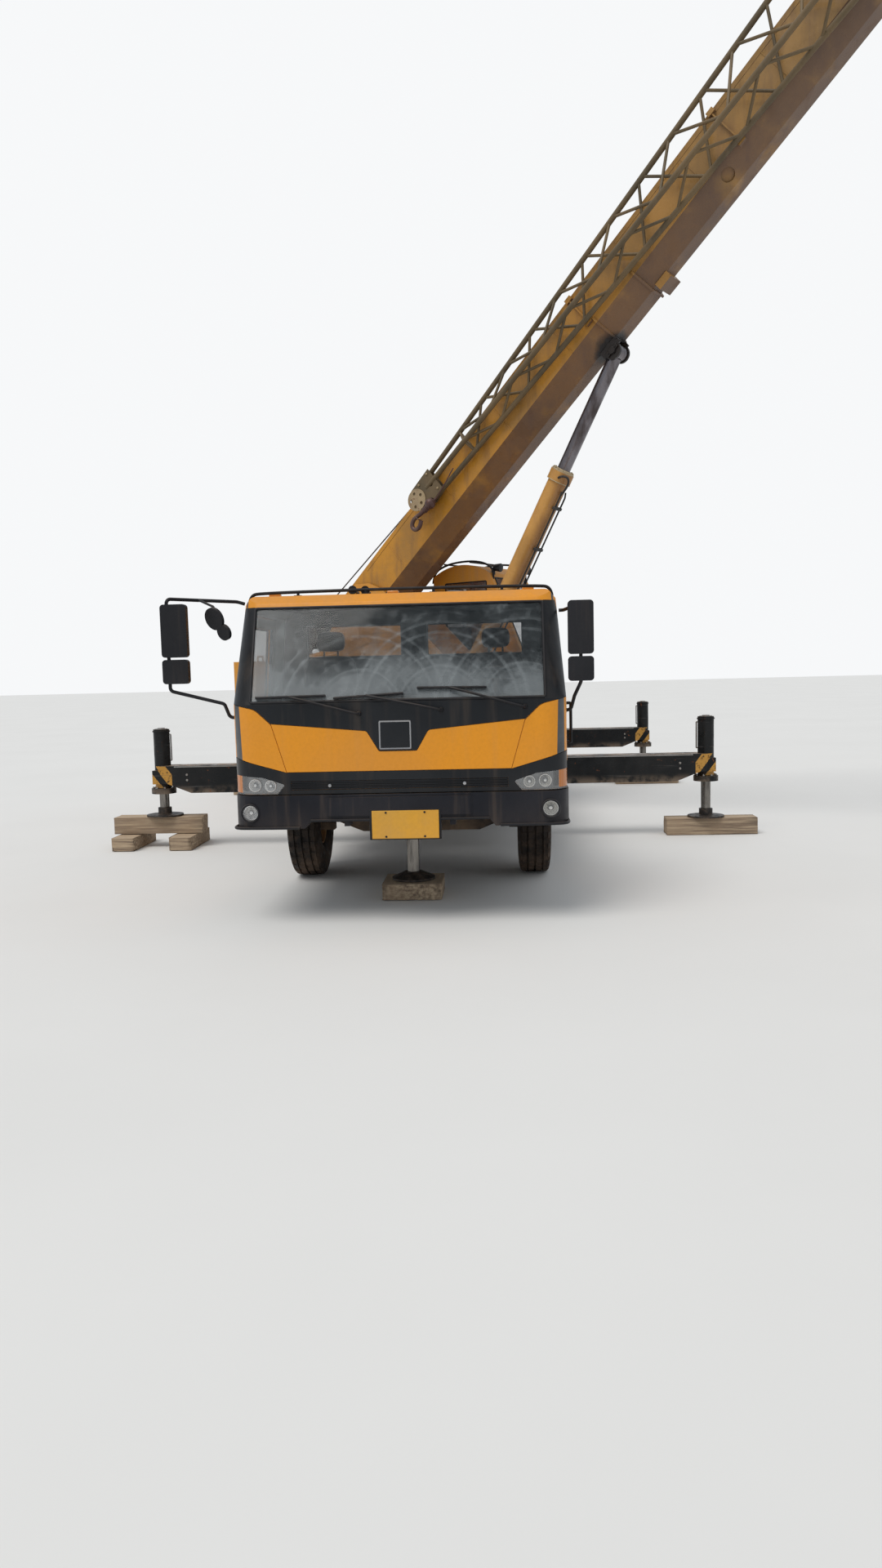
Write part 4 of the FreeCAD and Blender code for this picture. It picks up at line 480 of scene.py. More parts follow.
def boom_paint(name, near, far, under):
    make = Recipe(name)
    colour = make.mix(make.along(ALONG, start=FOOT).band(1.5, 9.5), near, far)
    colour = make.mix(make.noise(1.4, 6, 0.6).band(0.4, 0.66, 0.55), colour, shade(far, 0.6))
    colour = make.mix(make.drawn_out(4, 0.6, 7, 7, 1.1).band(0.48, 0.74, 0.35), colour, under)
    # Painted shade: faces that look down, away from OVER, are mixed towards the dark under colour in broad blotches.
    # The same colour also draws the rain streaks above.
    below = (make.along(OVER, "Normal") * -1.0).band(0.15, 0.8, 0.8)
    colour = make.mix(below * make.noise(2.2, 5).band(0.15, 0.5), colour, under)
    specks = make.noise(30, 6, 0.7).band(0.7, 0.735)
    colour = make.mix(make.up.band(0.3, 1.0, 0.3), make.mix(specks, colour, RUST), EARTH)
    ragged = make.away_from(ROD_EYE) + make.noise(5, 3) * 0.16
    colour = make.mix(ragged.band(0.36, 0.26, 0.95), colour, (0.010, 0.012, 0.016))
    make.set(Base_Color=colour, Roughness=make.noise(5, 4).band(0.2, 0.9, 0.75), Specular_IOR_Level=0.3)
    return make.bump(make.noise(40, 5, 0.65) + specks * -0.8, 0.0008)


# The last colour of each paint is the painted shade of its underside, and also the colour of its rain streaks.
BOOM = boom_paint("boom_yellow_paint", (0.55, 0.25, 0.032), (0.36, 0.22, 0.09), (0.098, 0.062, 0.056))
TUBE = boom_paint("telescope_tube_paint", (0.50, 0.26, 0.06), (0.40, 0.23, 0.085), (0.15, 0.085, 0.06))
BARREL = boom_paint("luffing_barrel_paint", (0.62, 0.32, 0.085), (0.58, 0.30, 0.085), (0.32, 0.16, 0.07))


def outrigger_paint():
    make = Recipe("outrigger_black_paint")
    colour = make.mix(make.noise(1.6, 5).band(0.4, 0.7), (0.006, 0.007, 0.008), (0.015, 0.015, 0.015))
    span = abs(make.y)
    stripe = ((span + make.z * -0.75) * 4.6).math("FRACT") > 0.42
    end = (span > 2.868) * ((make.z < 0.895) * (make.z > 0.655))
    colour = make.mix(stripe * end * make.noise(26, 5, 0.7).band(0.33, 0.47), colour, (0.50, 0.26, 0.055))
    scraped = make.drawn_out(4, 0.65, 5, 0.9, 26).band(0.62, 0.7, 0.55)
    colour = make.mix(scraped, colour, (0.085, 0.08, 0.078))
    lower = (1.0 - make.z).band(0.30, 0.41, 0.8) * make.noise(7, 5).band(0.35, 0.6)
    colour = make.mix(lower, colour, (0.20, 0.15, 0.11))
    upper = make.up.band(0.4, 0.9) * make.noise(5, 5).band(0.3, 0.62) * 0.75
    rusty = make.noise(14, 6, 0.7).band(0.63, 0.68)
    colour = make.mix(rusty, make.mix(upper, colour, EARTH), RUST)
    make.set(Base_Color=colour, Roughness=make.noise(9, 5).band(0.1, 0.9, 0.8), Specular_IOR_Level=0.22)
    return make.bump(make.noise(45, 5, 0.7) + rusty * -1.0, 0.0008)


OUTRIGGER = outrigger_paint()
print("boom foot", tuple(round(c, 3) for c in FOOT), "along", tuple(round(c, 3) for c in ALONG))

# %% [markdown]
# ## Rubber, wood, glass and chrome
# Rubber is grey with dust and darkest in its grooves. Old crane mats show long grain, open
# cracks and dark ends, so the grain is a noise stretched along the timber. The panes of a
# site machine carry a film of dust that thickens towards their edges; a dark tint with a low
# alpha keeps the inside of the cab in view. A cylinder's rod is hard chrome with an oily band.

# %% Rubber, wood, glass, chrome and lamps
WIPER_FEET = ((-0.277, 1.57), (0.324, 1.586), (0.931, 1.596))


def rubber():
    make = Recipe("tyre_rubber")
    dusty = make.noise(5, 6, 0.7).band(0.33, 0.62) * (1.0 - make.z.band(0.05, 0.55, 0.75))
    colour = make.mix(dusty, (0.010, 0.0095, 0.0095), (0.115, 0.078, 0.055))
    colour = make.mix(make.noise(60, 4, 0.7).band(0.5, 0.8, 0.3), colour, (0.045, 0.039, 0.035))
    make.set(Base_Color=colour, Roughness=make.noise(20, 4).band(0.0, 0.6, 0.92), Specular_IOR_Level=0.25)
    return make.bump(make.noise(90, 5, 0.7), 0.0009)


def wood():
    """The grain runs across the truck under the outriggers, and along it under the cab."""
    make = Recipe("weathered_timber")
    grain = make.node("Mix", {0: abs(make.y) > 2.2, 2: make.drawn_out(8, 0.62, 1.6, 30, 42),
                              3: make.drawn_out(8, 0.62, 30, 1.6, 42)})
    colour = make.mix(grain.band(0.32, 0.68), (0.16, 0.11, 0.075), (0.52, 0.40, 0.27))
    colour = make.mix(make.noise(2.5, 5).band(0.42, 0.68, 0.7), colour, (0.33, 0.235, 0.155))
    cracks = grain.band(0.33, 0.27)
    colour = make.mix(cracks * 0.8, colour, (0.018, 0.013, 0.01))
    colour = make.mix(make.up.band(0.4, 0.9) * 0.6, colour, (0.54, 0.41, 0.28))
    make.set(Base_Color=colour, Roughness=grain.band(-0.6, 0.8, 0.95))
    return make.bump(grain + cracks * -0.5, 0.006)


def glass(name, tint, clear, film, wiper_feet=()):
    """A dusty pane. Round each wiper's foot the film is rubbed into arcs."""
    make = Recipe(name)
    haze = make.noise(2.0, 4, 0.5).band(0.3, 0.8, 0.6) + make.noise(14, 5, 0.6).band(0.4, 0.8, 0.35)
    for y, z in wiper_feet:
        reach = make.away_from((0, y, z), make.stretched(0, 1, 1))
        arcs = make.node("TexNoise", {"Scale": 24, "W": reach}, noise_dimensions="1D")
        haze = haze + reach.band(0.78, 0.7) * arcs.band(0.48, 0.75, 0.2)
    low = make.z.band(2.05, 1.70, 0.55) if wiper_feet else 0.0
    cover = (haze + low) * film
    make.set(Base_Color=make.mix(cover.band(0.0, film), tint, (0.235, 0.26, 0.27)), Alpha=cover + clear,
             Roughness=cover * 0.4 + 0.05, IOR=1.5)
    return make.bump(make.noise(1.2, 2), 0.0015)


def chrome():
    make = Recipe("luffing_rod_chrome")
    oily = make.drawn_out(5, 0.6, 5, 5, 1.4).band(0.4, 0.7)
    make.set(Base_Color=make.mix(oily, (0.20, 0.185, 0.20), (0.085, 0.07, 0.07)), Metallic=0.9,
             Roughness=oily.band(-0.8, 1.4, 0.62))
    return make.bump(make.noise(120, 3), 0.0002)


def lamp_lens():
    """Clear in front with an amber end, amber at the sides, and red behind."""
    make = Recipe("lamp_lens")
    amber = abs(make.y).band(1.165, 1.175) * (make.z > 1.0)
    side = make.x < 6.3
    colour = make.mix(make.noise(18, 4) * 0.2, (0.72, 0.74, 0.75), (0.45, 0.40, 0.34))
    colour = make.mix(side, make.mix(amber, colour, (0.50, 0.17, 0.035)), (0.70, 0.17, 0.015))
    colour = make.mix(make.x < -3.0, colour, (0.42, 0.012, 0.01))
    solid = amber.math("MAXIMUM", side).math("MAXIMUM", 0.22)
    make.set(Base_Color=colour, Alpha=solid, Roughness=0.12, IOR=1.5)
    return make.bump((make.y * 420).math("SINE"), 0.0008)


def jack_steel():
    """A worn hard-chromed rod above the dark iron of the nut and the disc at its foot."""
    make = Recipe("jack_rod_steel")
    left, right, front = ((height,) * 3 for height in (0.288, 0.436, 0.205))
    is_foot = make.z < make.mix(make.x > 4.0, make.mix(make.y > 0.0, right, left), front)
    oily = make.drawn_out(5, 0.6, 14, 14, 2.5).band(0.4, 0.7)
    rod = make.mix(oily, (0.24, 0.225, 0.205), (0.11, 0.10, 0.09))
    iron = make.mix(make.noise(14, 5, 0.7).band(0.4, 0.7), (0.018, 0.016, 0.015), (0.10, 0.072, 0.052))
    make.set(Base_Color=make.mix(is_foot, rod, iron), Metallic=0.9 - is_foot * 0.6,
             Roughness=oily.band(-0.8, 1.4, 0.5) + is_foot * 0.25)
    return make.bump(make.noise(60, 4), 0.0005)


RUBBER, WOOD, CHROME, LENS, JACK = rubber(), wood(), chrome(), lamp_lens(), jack_steel()
WINDSCREEN = glass("windscreen_glass", (0.030, 0.038, 0.042), 0.20, 0.30, WIPER_FEET)
SIDE_GLASS = glass("side_window_glass", (0.016, 0.022, 0.024), 0.32, 0.2)

# %% [markdown]
# Each node of the frame now takes its finish. The shapes stay as they are, and only the
# material of each node's slots changes.

# %% Give every node its finish
CORNERS = [end + side for end in ("front_", "rear_") for side in ("left", "right")]
TWINS = [axle + side for axle in ("middle_", "rear_") for side in ("left", "right")]
FINISHES = {
    YELLOW: ["cab_shell", "cab_front_panels", "door_left", "door_right"],
    TRIM: ["cab_front_trim"],
    BUMPER: ["front_bumper"],
    WINDSCREEN: ["cab_glass"],
    SIDE_GLASS: ["door_glass_left", "door_glass_right", "crane_cab_glass"],
    PLASTIC: ["cab_mirrors"],
    INSIDE: ["cab_interior", "crane_cab_interior"],
    LENS: ["lamps"],
    CHASSIS: ["chassis_frame", "side_boxes"],
    DECK: ["deck_plates"],
    AXLE: ["front_axle", "rear_bogie", "knuckle_left", "knuckle_right"],
    IRON: ["engine_block"],
    RIM: ["rim_front_left", "rim_front_right"] + ["rims_" + wheel for wheel in TWINS],
    RUBBER: ["tyre_front_left", "tyre_front_right"] + ["tyres_" + wheel for wheel in TWINS],
    OUTRIGGER: ["outrigger_beam_" + corner for corner in CORNERS],
    JACK: ["jack_" + corner for corner in CORNERS] + ["jack_front"],
    WOOD: ["timber_pads"],
    HOUSE_YELLOW: ["turntable", "crane_cab", "crane_cab_door"],
    BALLAST: ["counterweight"],
    WINCH: ["winches", "hook_block"],
    BOOM: ["boom_base"],
    TUBE: ["boom_section_2", "boom_section_3", "boom_head_section"],
    BARREL: ["luff_barrel"],
    CHROME: ["luff_rod"],
    JIB: ["jib_lattice"],
}
for finish, names in FINISHES.items():
    for name in names:
        for place in NODES[name].material_slots:
            place.material = finish
print("nodes without a finish:", sorted(set(NODES) - set(sum(FINISHES.values(), []))))

# %% [markdown]
# ## Tyres
# A crane's road tyre has a flat tread with ribs that run round it, deep grooves between them,
# and notches cut into the shoulders. One outline is drawn as a ring of points, spun round the
# axle in sixty steps, and every other face of the shoulders and of the middle ribs is then
# pushed in. The ten tyres are copies of it, each with its own mesh.

# %% Spin one tyre and cut its notches
TREAD_STEPS, TYRE_RADIUS, TYRE_WIDTH = 60, 0.545, 0.293
HALF_OUTLINE = [
    (0.104, 0.262), (0.128, 0.292), (0.1445, 0.345), (0.1465, 0.405), (0.1415, 0.462), (0.1345, 0.498),
    (0.127, 0.524), (0.112, 0.5395), (0.074, 0.5435), (0.072, 0.528), (0.062, 0.528), (0.060, 0.5447),
    (0.008, 0.545), (0.006, 0.529)]
OUTLINE = [(-across, radius) for across, radius in HALF_OUTLINE] + HALF_OUTLINE[::-1]
tyre = added(bpy.ops.mesh.primitive_circle_add, vertices=len(OUTLINE), radius=1, fill_type="NOTHING")
for corner, (across, radius) in zip(tyre.data.vertices, OUTLINE):
    corner.co = (0, across, radius)
bpy.ops.object.mode_set(mode="EDIT")
bpy.ops.mesh.select_all(action="SELECT")
bpy.ops.mesh.spin(steps=TREAD_STEPS, angle=2 * math.pi, center=(0, 0, 0), axis=(0, 1, 0))
bpy.ops.object.mode_set(mode="OBJECT")


def is_notch(centre, normal):
    """Every other face of the shoulder, and every other one of the wide ribs."""
    step = round((math.atan2(centre.z, centre.x) / (2 * math.pi)) * TREAD_STEPS - 0.5)
    reach = math.hypot(centre.x, centre.z)
    shoulder = 0.112 < abs(centre.y) < 0.128 and reach > 0.52
    rib = abs(centre.y) < 0.1 and reach > 0.538
    return (shoulder and step % 2 == 0) or (rib and step % 2 == (centre.y > 0))


picked(outward(tyre), is_notch)
bpy.ops.mesh.inset(thickness=0.006, depth=-0.006, use_individual=True)
bpy.ops.object.mode_set(mode="OBJECT")
print("one tyre: %d faces" % len(tyre.data.polygons))

# %% [markdown]
# The single front tyres and the twin rear tyres are set on their axles. A tyre's middle
# comes from the box of the node that it stands for, so nothing is measured twice.

# %% Copy the tyre to every wheel
SIDES = (("left", 1), ("right", -1))
for axle in ("front_", "middle_", "rear_"):
    for side, sign in SIDES:
        node = ("tyre_" if axle == "front_" else "tyres_") + axle + side
        low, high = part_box(node)
        across = [(low.y + high.y) / 2] if axle == "front_" else [low.y + TYRE_WIDTH / 2, high.y - TYRE_WIDTH / 2]
        tyres = [copy_of(tyre, at((low.x + high.x) / 2, y, TYRE_RADIUS) @ Matrix.Rotation(0.3 * i, 4, "Y"))
                 for i, y in enumerate(across)]
        ready("treaded_" + axle + side, "wheel_" + axle + side, RUBBER, tyres, instead=[node], smooth=40)
bpy.data.objects.remove(tyre)

# %% [markdown]
# ## Wheel nuts and hub covers
# Each wheel is held by ten nuts with rounded corners on their studs, and a flanged cover
# closes the hub. A nut starts as a six-sided cylinder: its outer face is inset and pulled out
# to make the stud, and a bevel softens the rest. The nuts are copied round the hub.

# %% Nuts and covers
def nut(radius, tall, stud, turn=Matrix()):
    """One nut on its stud, with the foot at the origin and the stud along +Y until it is turned."""
    piece = bar((0, 0, 0), (0, tall, 0), radius, 6)
    worked(piece, (0, 1, 0), ("inset", radius * 0.4), ("pull", (0, stud, 0)))
    return moved(rounded(piece, radius * 0.1, 1), turn)


def copies(source, places):
    return [copy_of(source, place) for place in places]


def round_axis(way, count, arm, base, start=0.0):
    """The places at the end of an arm that is turned round an axis in even steps."""
    return [base @ Matrix.Rotation(2 * math.pi * (i + start) / count, 4, way) @ at(*arm) for i in range(count)]


wheel_nut, cover_bolt = nut(0.017, 0.022, 0.014), nut(0.008, 0.007, 0.002)
for axle, reach, disc, circle, cap, radius in (
        ("front_", 4.78, 1.097, 0.172, 1.187, 0.075), ("middle_", 0.45, 1.006, 0.182, 1.167, 0.092),
        ("rear_", -0.90, 1.006, 0.182, 1.167, 0.092)):
    for side, sign in SIDES:
        nuts = copies(wheel_nut, round_axis("Y", 10, (0, 0, circle), at(0, disc, 0)))
        bolts = copies(cover_bolt, round_axis("Y", 8, (0, 0, radius - 0.009), at(0, cap + 0.008, 0)))
        cover = worked(bar((0, cap - 0.004, 0), (0, cap + 0.008, 0), radius, 32), (0, 1, 0), ("inset", 0.018),
                       ("pull", (0, 0.012, 0)), ("inset", 0.006), ("pull", (0, -0.003, 0)))
        hub = moved(merged(nuts + bolts + [rounded(cover, 0.002)]),
                    at(reach, 0, TYRE_RADIUS) @ Matrix.Diagonal((1, sign, 1, 1)))
        ready("wheel_nuts_" + axle + side, "wheel_" + axle + side, AXLE, [outward(hub)])
for spare in (wheel_nut, cover_bolt):
    bpy.data.objects.remove(spare)

# %% [markdown]
# ## Pipes and hoses
# A guard rail, a wiper arm or a steel brake line is a round bar that follows a bent line. A
# curve with a bevel is the simplest way: its points are the bends, and turning it into a mesh
# fixes the shape. Lines that are clamped at both ends belong to the machine, so they aren't
# loose cords.

# %% A bent bar
def bent(points, radius, sides=3):
    """A bar along a smooth curve that starts and ends at its end points."""
    curve = bpy.data.curves.new("pipe", "CURVE")
    curve.dimensions = "3D"
    curve.bevel_depth, curve.bevel_resolution, curve.use_fill_caps = radius, sides, True
    spline = curve.splines.new("NURBS")
    spline.points.add(len(points) - 1)
    for knot, place in zip(spline.points, points):
        knot.co = (*place, 1)
    spline.order_u, spline.resolution_u, spline.use_endpoint_u = 3, 8, True
    piece = bpy.data.objects.new("pipe", curve)
    bpy.context.scene.collection.objects.link(piece)
    alone(piece)
    bpy.ops.object.convert(target="MESH")
    return bpy.context.object


def pipe(points, radius, bend=0.03):
    """A bar with straight runs and tight bends: each corner gets a point just before and after it."""
    points = [Vector(point) for point in points]
    route = points[:1]
    for before, corner, after in zip(points, points[1:], points[2:]):
        route += [corner + (before - corner).normalized() * bend, corner, corner + (after - corner).normalized() * bend]
    return bent(route + points[-1:], radius)


def loop(corners, radius):
    """A closed rubber section through corners, with rounded bends."""
    run = [Vector(corner) for corner in corners]
    start = (run[0] + run[-1]) / 2
    return pipe([start] + run + [start], radius, 0.035)


def staple(foot, out, along, radius, bend=0.02):
    """A handle: it stands out from its foot, runs along, and comes back."""
    foot, out, along = Vector(foot), Vector(out), Vector(along)
    return pipe([foot, foot + out, foot + out + along, foot + along], radius, bend)


# %% [markdown]
# ## Wipers
# Three wipers rest along the foot of the windscreen. Each has a spindle, a bent arm and a
# blade: a steel spine with claws, over a rubber lip that touches the glass. The places were
# read from the photograph and put on the slope of the glass.

# %% Three wipers on the glass
def on_screen(y, z, out=0.0):
    """A point on the windscreen's face, and how far it stands out."""
    return Vector((6.93 - max(0.0, z - 1.65) * (6.93 - 6.56) / (2.463 - 1.65) + out, y, z))


BLADES = (((-1.035, 1.700), (-0.520, 1.706)), ((-0.46, 1.686), (0.050, 1.712)), ((0.150, 1.748), (0.657, 1.742)))
wipers = []
for (tip, end), foot in zip(BLADES, WIPER_FEET):
    wipers += [bar(on_screen(*tip, out), on_screen(*end, out), 0.009, sides) for out, sides in ((0.024, 8), (0.011, 4))]
    for share in (0.12, 0.36, 0.64, 0.88):
        y, z = (a + (b - a) * share for a, b in zip(tip, end))
        wipers.append(block(on_screen(y - 0.012, z - 0.009, 0.004), on_screen(y + 0.012, z + 0.009, 0.030)))
    y, z = ((a + b) / 2 for a, b in zip(tip, end))
    wipers += [bent([on_screen(*foot, 0.012), on_screen(*foot, 0.052), on_screen(foot[0] - 0.08, foot[1] + 0.02, 0.055),
                     on_screen(y, z, 0.052), on_screen(y - 0.02, z, 0.026)], 0.0095),
               bar(on_screen(*foot, -0.02), on_screen(*foot, 0.03), 0.022, 20, 0.003, tip=0.014)]
ready("windscreen_wipers", "carrier", PLASTIC, wipers)

# %% [markdown]
# ## Lamps
# Behind each clear lens sit two round reflectors and their bulbs. A reflector is a bowl: a
# disc is inset again and again, and each new middle is pushed further back along a curve.
# A rim is drawn round its mouth, and the bulb is a small rounded bar in front of the bowl.

# %% Reflectors, bulbs, lamp rings and grille
MIRROR = steel("reflector_silver", (0.80, 0.80, 0.80), (0.70, 0.69, 0.66), metal=1.0, dust=0.15, rough=0.2,
               chips=0.9, streak=0.1, pits=0.0001)
LAMP_GREY = steel("lamp_housing_grey", (0.16, 0.165, 0.17), (0.10, 0.10, 0.10), metal=0.85, dust=0.12, rough=0.32,
                  chips=0.85, pits=0.0002)
TO_X = (0, math.pi / 2, 0)


def hoop(centre, radius, thick, steps, sides, turn=TO_X):
    """A ring of round steel that looks along X, unless it is turned otherwise."""
    return added(bpy.ops.mesh.primitive_torus_add, major_radius=radius, minor_radius=thick, major_segments=steps,
                 minor_segments=sides, location=centre, rotation=turn)


def lamp(y, z, x, radius):
    """A bowl that opens towards +X, the rim round its mouth and the bulb in it."""
    bowl = added(bpy.ops.mesh.primitive_circle_add, vertices=28, radius=radius, fill_type="NGON",
                 location=(x, y, z), rotation=TO_X)
    steps = []
    for share in (0.09, 0.22, 0.36, 0.5, 0.62):
        steps += [("inset", radius * 0.15), ("move", (-radius * 0.42 * (0.52 - share * 0.62), 0, 0))]
    worked(bowl, anywhere, *steps)
    return [applied(bowl, "SOLIDIFY", thickness=0.003, offset=-1), hoop((x, y, z), radius, 0.004, 28, 6),
            bar((x - radius * 0.4, y, z), (x - radius * 0.05, y, z), radius * 0.26, 16, 0.003)]


bowls = []
for side in (-1, 1):
    bowls += lamp(side * 0.955, 1.048, 6.903, 0.040) + lamp(side * 1.070, 1.054, 6.901, 0.044)
    bowls += lamp(side * 1.108, 0.850, 6.902, 0.052)
ready("lamp_reflectors", "carrier", MIRROR, [outward(merged(bowls))])
housing = from_frame("lamps")
picked(housing, lambda centre, normal: not (normal.x < -0.35 and centre.x > 6.70 and centre.z > 0.95))
bpy.ops.mesh.delete(type="FACE")
bpy.ops.mesh.select_all(action="SELECT")
bpy.ops.mesh.flip_normals()
bpy.ops.transform.translate(value=(0.0015, 0, 0))
bpy.ops.object.mode_set(mode="OBJECT")
applied(housing, "SOLIDIFY", thickness=0.001, offset=1)
ready("headlamp_housings", "carrier", LAMP_GREY, [housing])
slats = [block((6.9050, -0.798, 1.0175), (6.9075, 0.798, 1.0805), 0.001, 1)]
for z in (1.0205, 1.0325, 1.0445, 1.0565, 1.0685, 1.0775):
    slats.append(block((6.9080, -0.798, z - 0.0022), (6.9150, 0.798, z + 0.0022), 0.0012, 2))
for y in (-0.6, -0.36, -0.12, 0.12, 0.36, 0.6):
    slats.append(block((6.9078, y - 0.004, 1.018), (6.9125, y + 0.004, 1.080), 0.0012, 1))
ready("front_grille", "carrier", PLASTIC, slats)

# %% [markdown]
# ## Bumper and number plate
# The bumper carries a plain blank plate on a pressed backing, the ring covers of the fog
# lamps, and a rubber lip along its foot. Two bright studs sit in the grille's slot. The badge
# in the middle of the front is left as a plain, empty plate.

# %% Fittings of the front
PLATE = steel("blank_plate_yellow", (0.74, 0.36, 0.025), (0.66, 0.35, 0.05), dust=0.45, splash=1.2, rough=0.45,
              chips=0.74)
SATIN = steel("satin_bright_work", (0.46, 0.46, 0.47), (0.32, 0.32, 0.33), metal=0.9, dust=0.25, rough=0.35,
              chips=0.8, streak=0.15, pits=0.0002)


def pressed(low, high, edge=0.004, sunk=0.0, border=0.01):
    """A plate with rounded edges and a pressed-in field on its +X face."""
    return rounded(worked(block(low, high), (1, 0, 0), ("inset", border), ("move", (-sunk, 0, 0))), edge)


ready("blank_number_plate", "carrier", PLATE,
      [pressed((6.947, -0.204, 0.649), (6.953, 0.289, 0.857), 0.002, 0.0015, 0.012)])
backing = [pressed((6.930, -0.222, 0.640), (6.947, 0.307, 0.866), 0.005)]
backing += [bar((6.95, y, z), (6.957, y, z), 0.008, 12, 0.002, 1) for y in (-0.10, 0.185) for z in (0.842, 0.664)]
for side in (-1, 1):
    backing.append(hoop((6.929, side * 1.108, 0.850), 0.064, 0.008, 36, 8))
    lip = ((5.60, 1.246), (6.70, 1.246), (6.90, 1.243), (6.934, 1.10), (6.936, 0.74))
    backing.append(bent([(x, side * y, 0.737) for x, y in lip], 0.011))
    y = side * 0.40
    backing.append(pressed((6.926, y - 0.07, 0.885), (6.9445, y + 0.07, 0.935), 0.004, 0.004))
centre_lip = ((6.936, -0.66, 0.790), (6.938, -0.3, 0.789), (6.938, 0.3, 0.789), (6.936, 0.66, 0.790))
ready("bumper_fittings", "carrier", PLASTIC, backing + [bent(centre_lip, 0.010)])
ready("badge_field", "carrier", TRIM,
      [pressed((6.9285, -0.124, 1.317), (6.9315, 0.088, 1.503), 0.001, -0.0008, 0.03)])
studs = [bar((6.90, y, 1.047), (6.938, y, 1.047), 0.013, 24, 0.004) for y in (-0.508, 0.483)]
badge = pressed((6.918, -0.137, 1.304), (6.934, 0.101, 1.516), 0.010, 0.006, 0.011)
ready("front_bright_work", "carrier", SATIN, studs + [badge])

# %% [markdown]
# ## Round the glass
# A rubber section holds each pane. The windscreen's runs round its edge on the slope of the
# glass, and each side window has its own. A bent bar with a rounded line does it.

# %% Rubber sections
screen = ((-1.078, 1.664), (1.078, 1.664), (1.078, 2.364), (-1.078, 2.364))
seals = [loop([on_screen(y, z, 0.002) for y, z in screen], 0.010)]
for low, high in ((-0.955, -0.115), (0.115, 0.955)):
    pane = ((low, 2.008), (high, 2.008), (high, 2.282), (low, 2.282))
    seals.append(loop([(5.084, y, z) for y, z in pane], 0.008))
ready("cab_window_rubber", "carrier", PLASTIC, seals)


def side_y(z):
    """How far out the cab's side is at a height."""
    return 1.24 - max(0.0, z - 1.65) * (1.24 - 1.18) / (2.463 - 1.65)


for side, sign in SIDES:
    y, out = sign * 1.238, sign * 1.238 + sign * 0.034
    pane = ((5.643, 1.673), (6.338, 1.673), (6.338, 2.237), (5.643, 2.237))
    fitted = [loop([(x, sign * (side_y(z) + 0.001), z) for x, z in pane], 0.009),
              pipe([(5.62, y, 1.485), (5.62, out, 1.485), (5.80, out, 1.485), (5.80, y, 1.485)], 0.011, 0.016),
              block((5.635, y, 1.447), (5.785, y + sign * 0.004, 1.523), 0.002),
              bar((5.83, y, 1.485), (5.83, y + sign * 0.008, 1.485), 0.014, 20, 0.002)]
    ready("door_fittings_" + side, "door_" + side, PLASTIC, fitted)

# %% [markdown]
# ## On the roof, and beside the cab
# A black rail runs across the roof's front edge on short feet, with three clearance lamps and
# a pair of horns behind it. Each side has two long grab rails, and amber lamps run along the
# frame. The faces of the mirrors look back along the truck, so they are seen from behind.

# %% Roof rail, horns, grab rails, lamps and mirror faces
ARCH = ((-1.16, 2.40), (-1.155, 2.478), (-1.05, 2.492), (0, 2.499), (1.05, 2.492), (1.155, 2.478), (1.16, 2.40))
rail = [bent([(6.44, y, z) for y, z in ARCH], 0.0125)]
for y in (-0.78, -0.26, 0.26, 0.78):
    rail.append(bar((6.44, y, 2.455), (6.44, y, 2.495), 0.011, 12, 0.002, 1))
    rail.append(block((6.415, y - 0.03, 2.461), (6.465, y + 0.03, 2.468), 0.002, 1))
for y, mouth in ((-0.36, 6.38), (-0.27, 6.32)):
    rail.append(bar((6.08, y, 2.497), (mouth, y, 2.497), 0.010, 16, tip=0.014))
    rail.append(bar((mouth, y, 2.497), (mouth + 0.06, y, 2.497), 0.014, 20, tip=0.034))
    rail.append(block((6.12, y - 0.015, 2.461), (6.16, y + 0.015, 2.49), 0.003, 1))
for side in (-1, 1):
    y, out = side * 1.242, side * 0.045
    rail.append(staple((6.475, y, 1.30), (0, out, 0), (0, 0, 0.30), 0.012))
    rail.append(pipe([(5.36, y, 1.35), (5.36, y + out, 1.35), (5.36, side * 1.265, 2.05), (5.36, side * 1.206, 2.05)],
                     0.012, 0.02))
ready("cab_rails_and_horns", "carrier", PLASTIC, rail)

AMBER = steel("amber_lens", (0.74, 0.28, 0.03), (0.66, 0.24, 0.035), dust=0.3, rough=0.22, chips=0.85, coat=0.6)
markers = [block((6.30, y - 0.045, 2.462), (6.36, y + 0.045, 2.492), 0.010, 3) for y in (-0.98, -0.06, 0.98)]
markers += [block((x - 0.05, side * 1.249, 1.115), (x + 0.05, side * 1.258, 1.150), 0.004)
            for side in (-1, 1) for x in (-2.2, -0.3, 1.6, 3.6)]
ready("clearance_lamps", "carrier", AMBER, markers)

faces = []
for side, inner, outer, top, x in ((-1, 1.528, 1.720, 2.396, 6.850), (1, 1.252, 1.436, 2.350, 6.800)):
    for low, high in ((top - 0.386, top), (top - 0.580, top - 0.402)):
        face = block((x - 0.004, side * (inner + 0.012), low + 0.012), (x + 0.002, side * (outer - 0.012), high - 0.012))
        faces.append(rounded(worked(face, (-1, 0, 0), ("inset", 0.006), ("move", (0.002, 0, 0))), 0.0015, 1))
ready("mirror_faces", "carrier", MIRROR, faces)

# %% [markdown]
# ## Inside the cab
# The driver's cab is seen through dusty glass: a dark dashboard, the steering wheel, and two
# seats with rounded cushions. The dashboard keeps the frame's own shape, as a copy with its
# edges rounded. Each cushion starts as a box that is divided, pulled in between its corners
# and smoothed, which gives the crown that foam has under cloth.

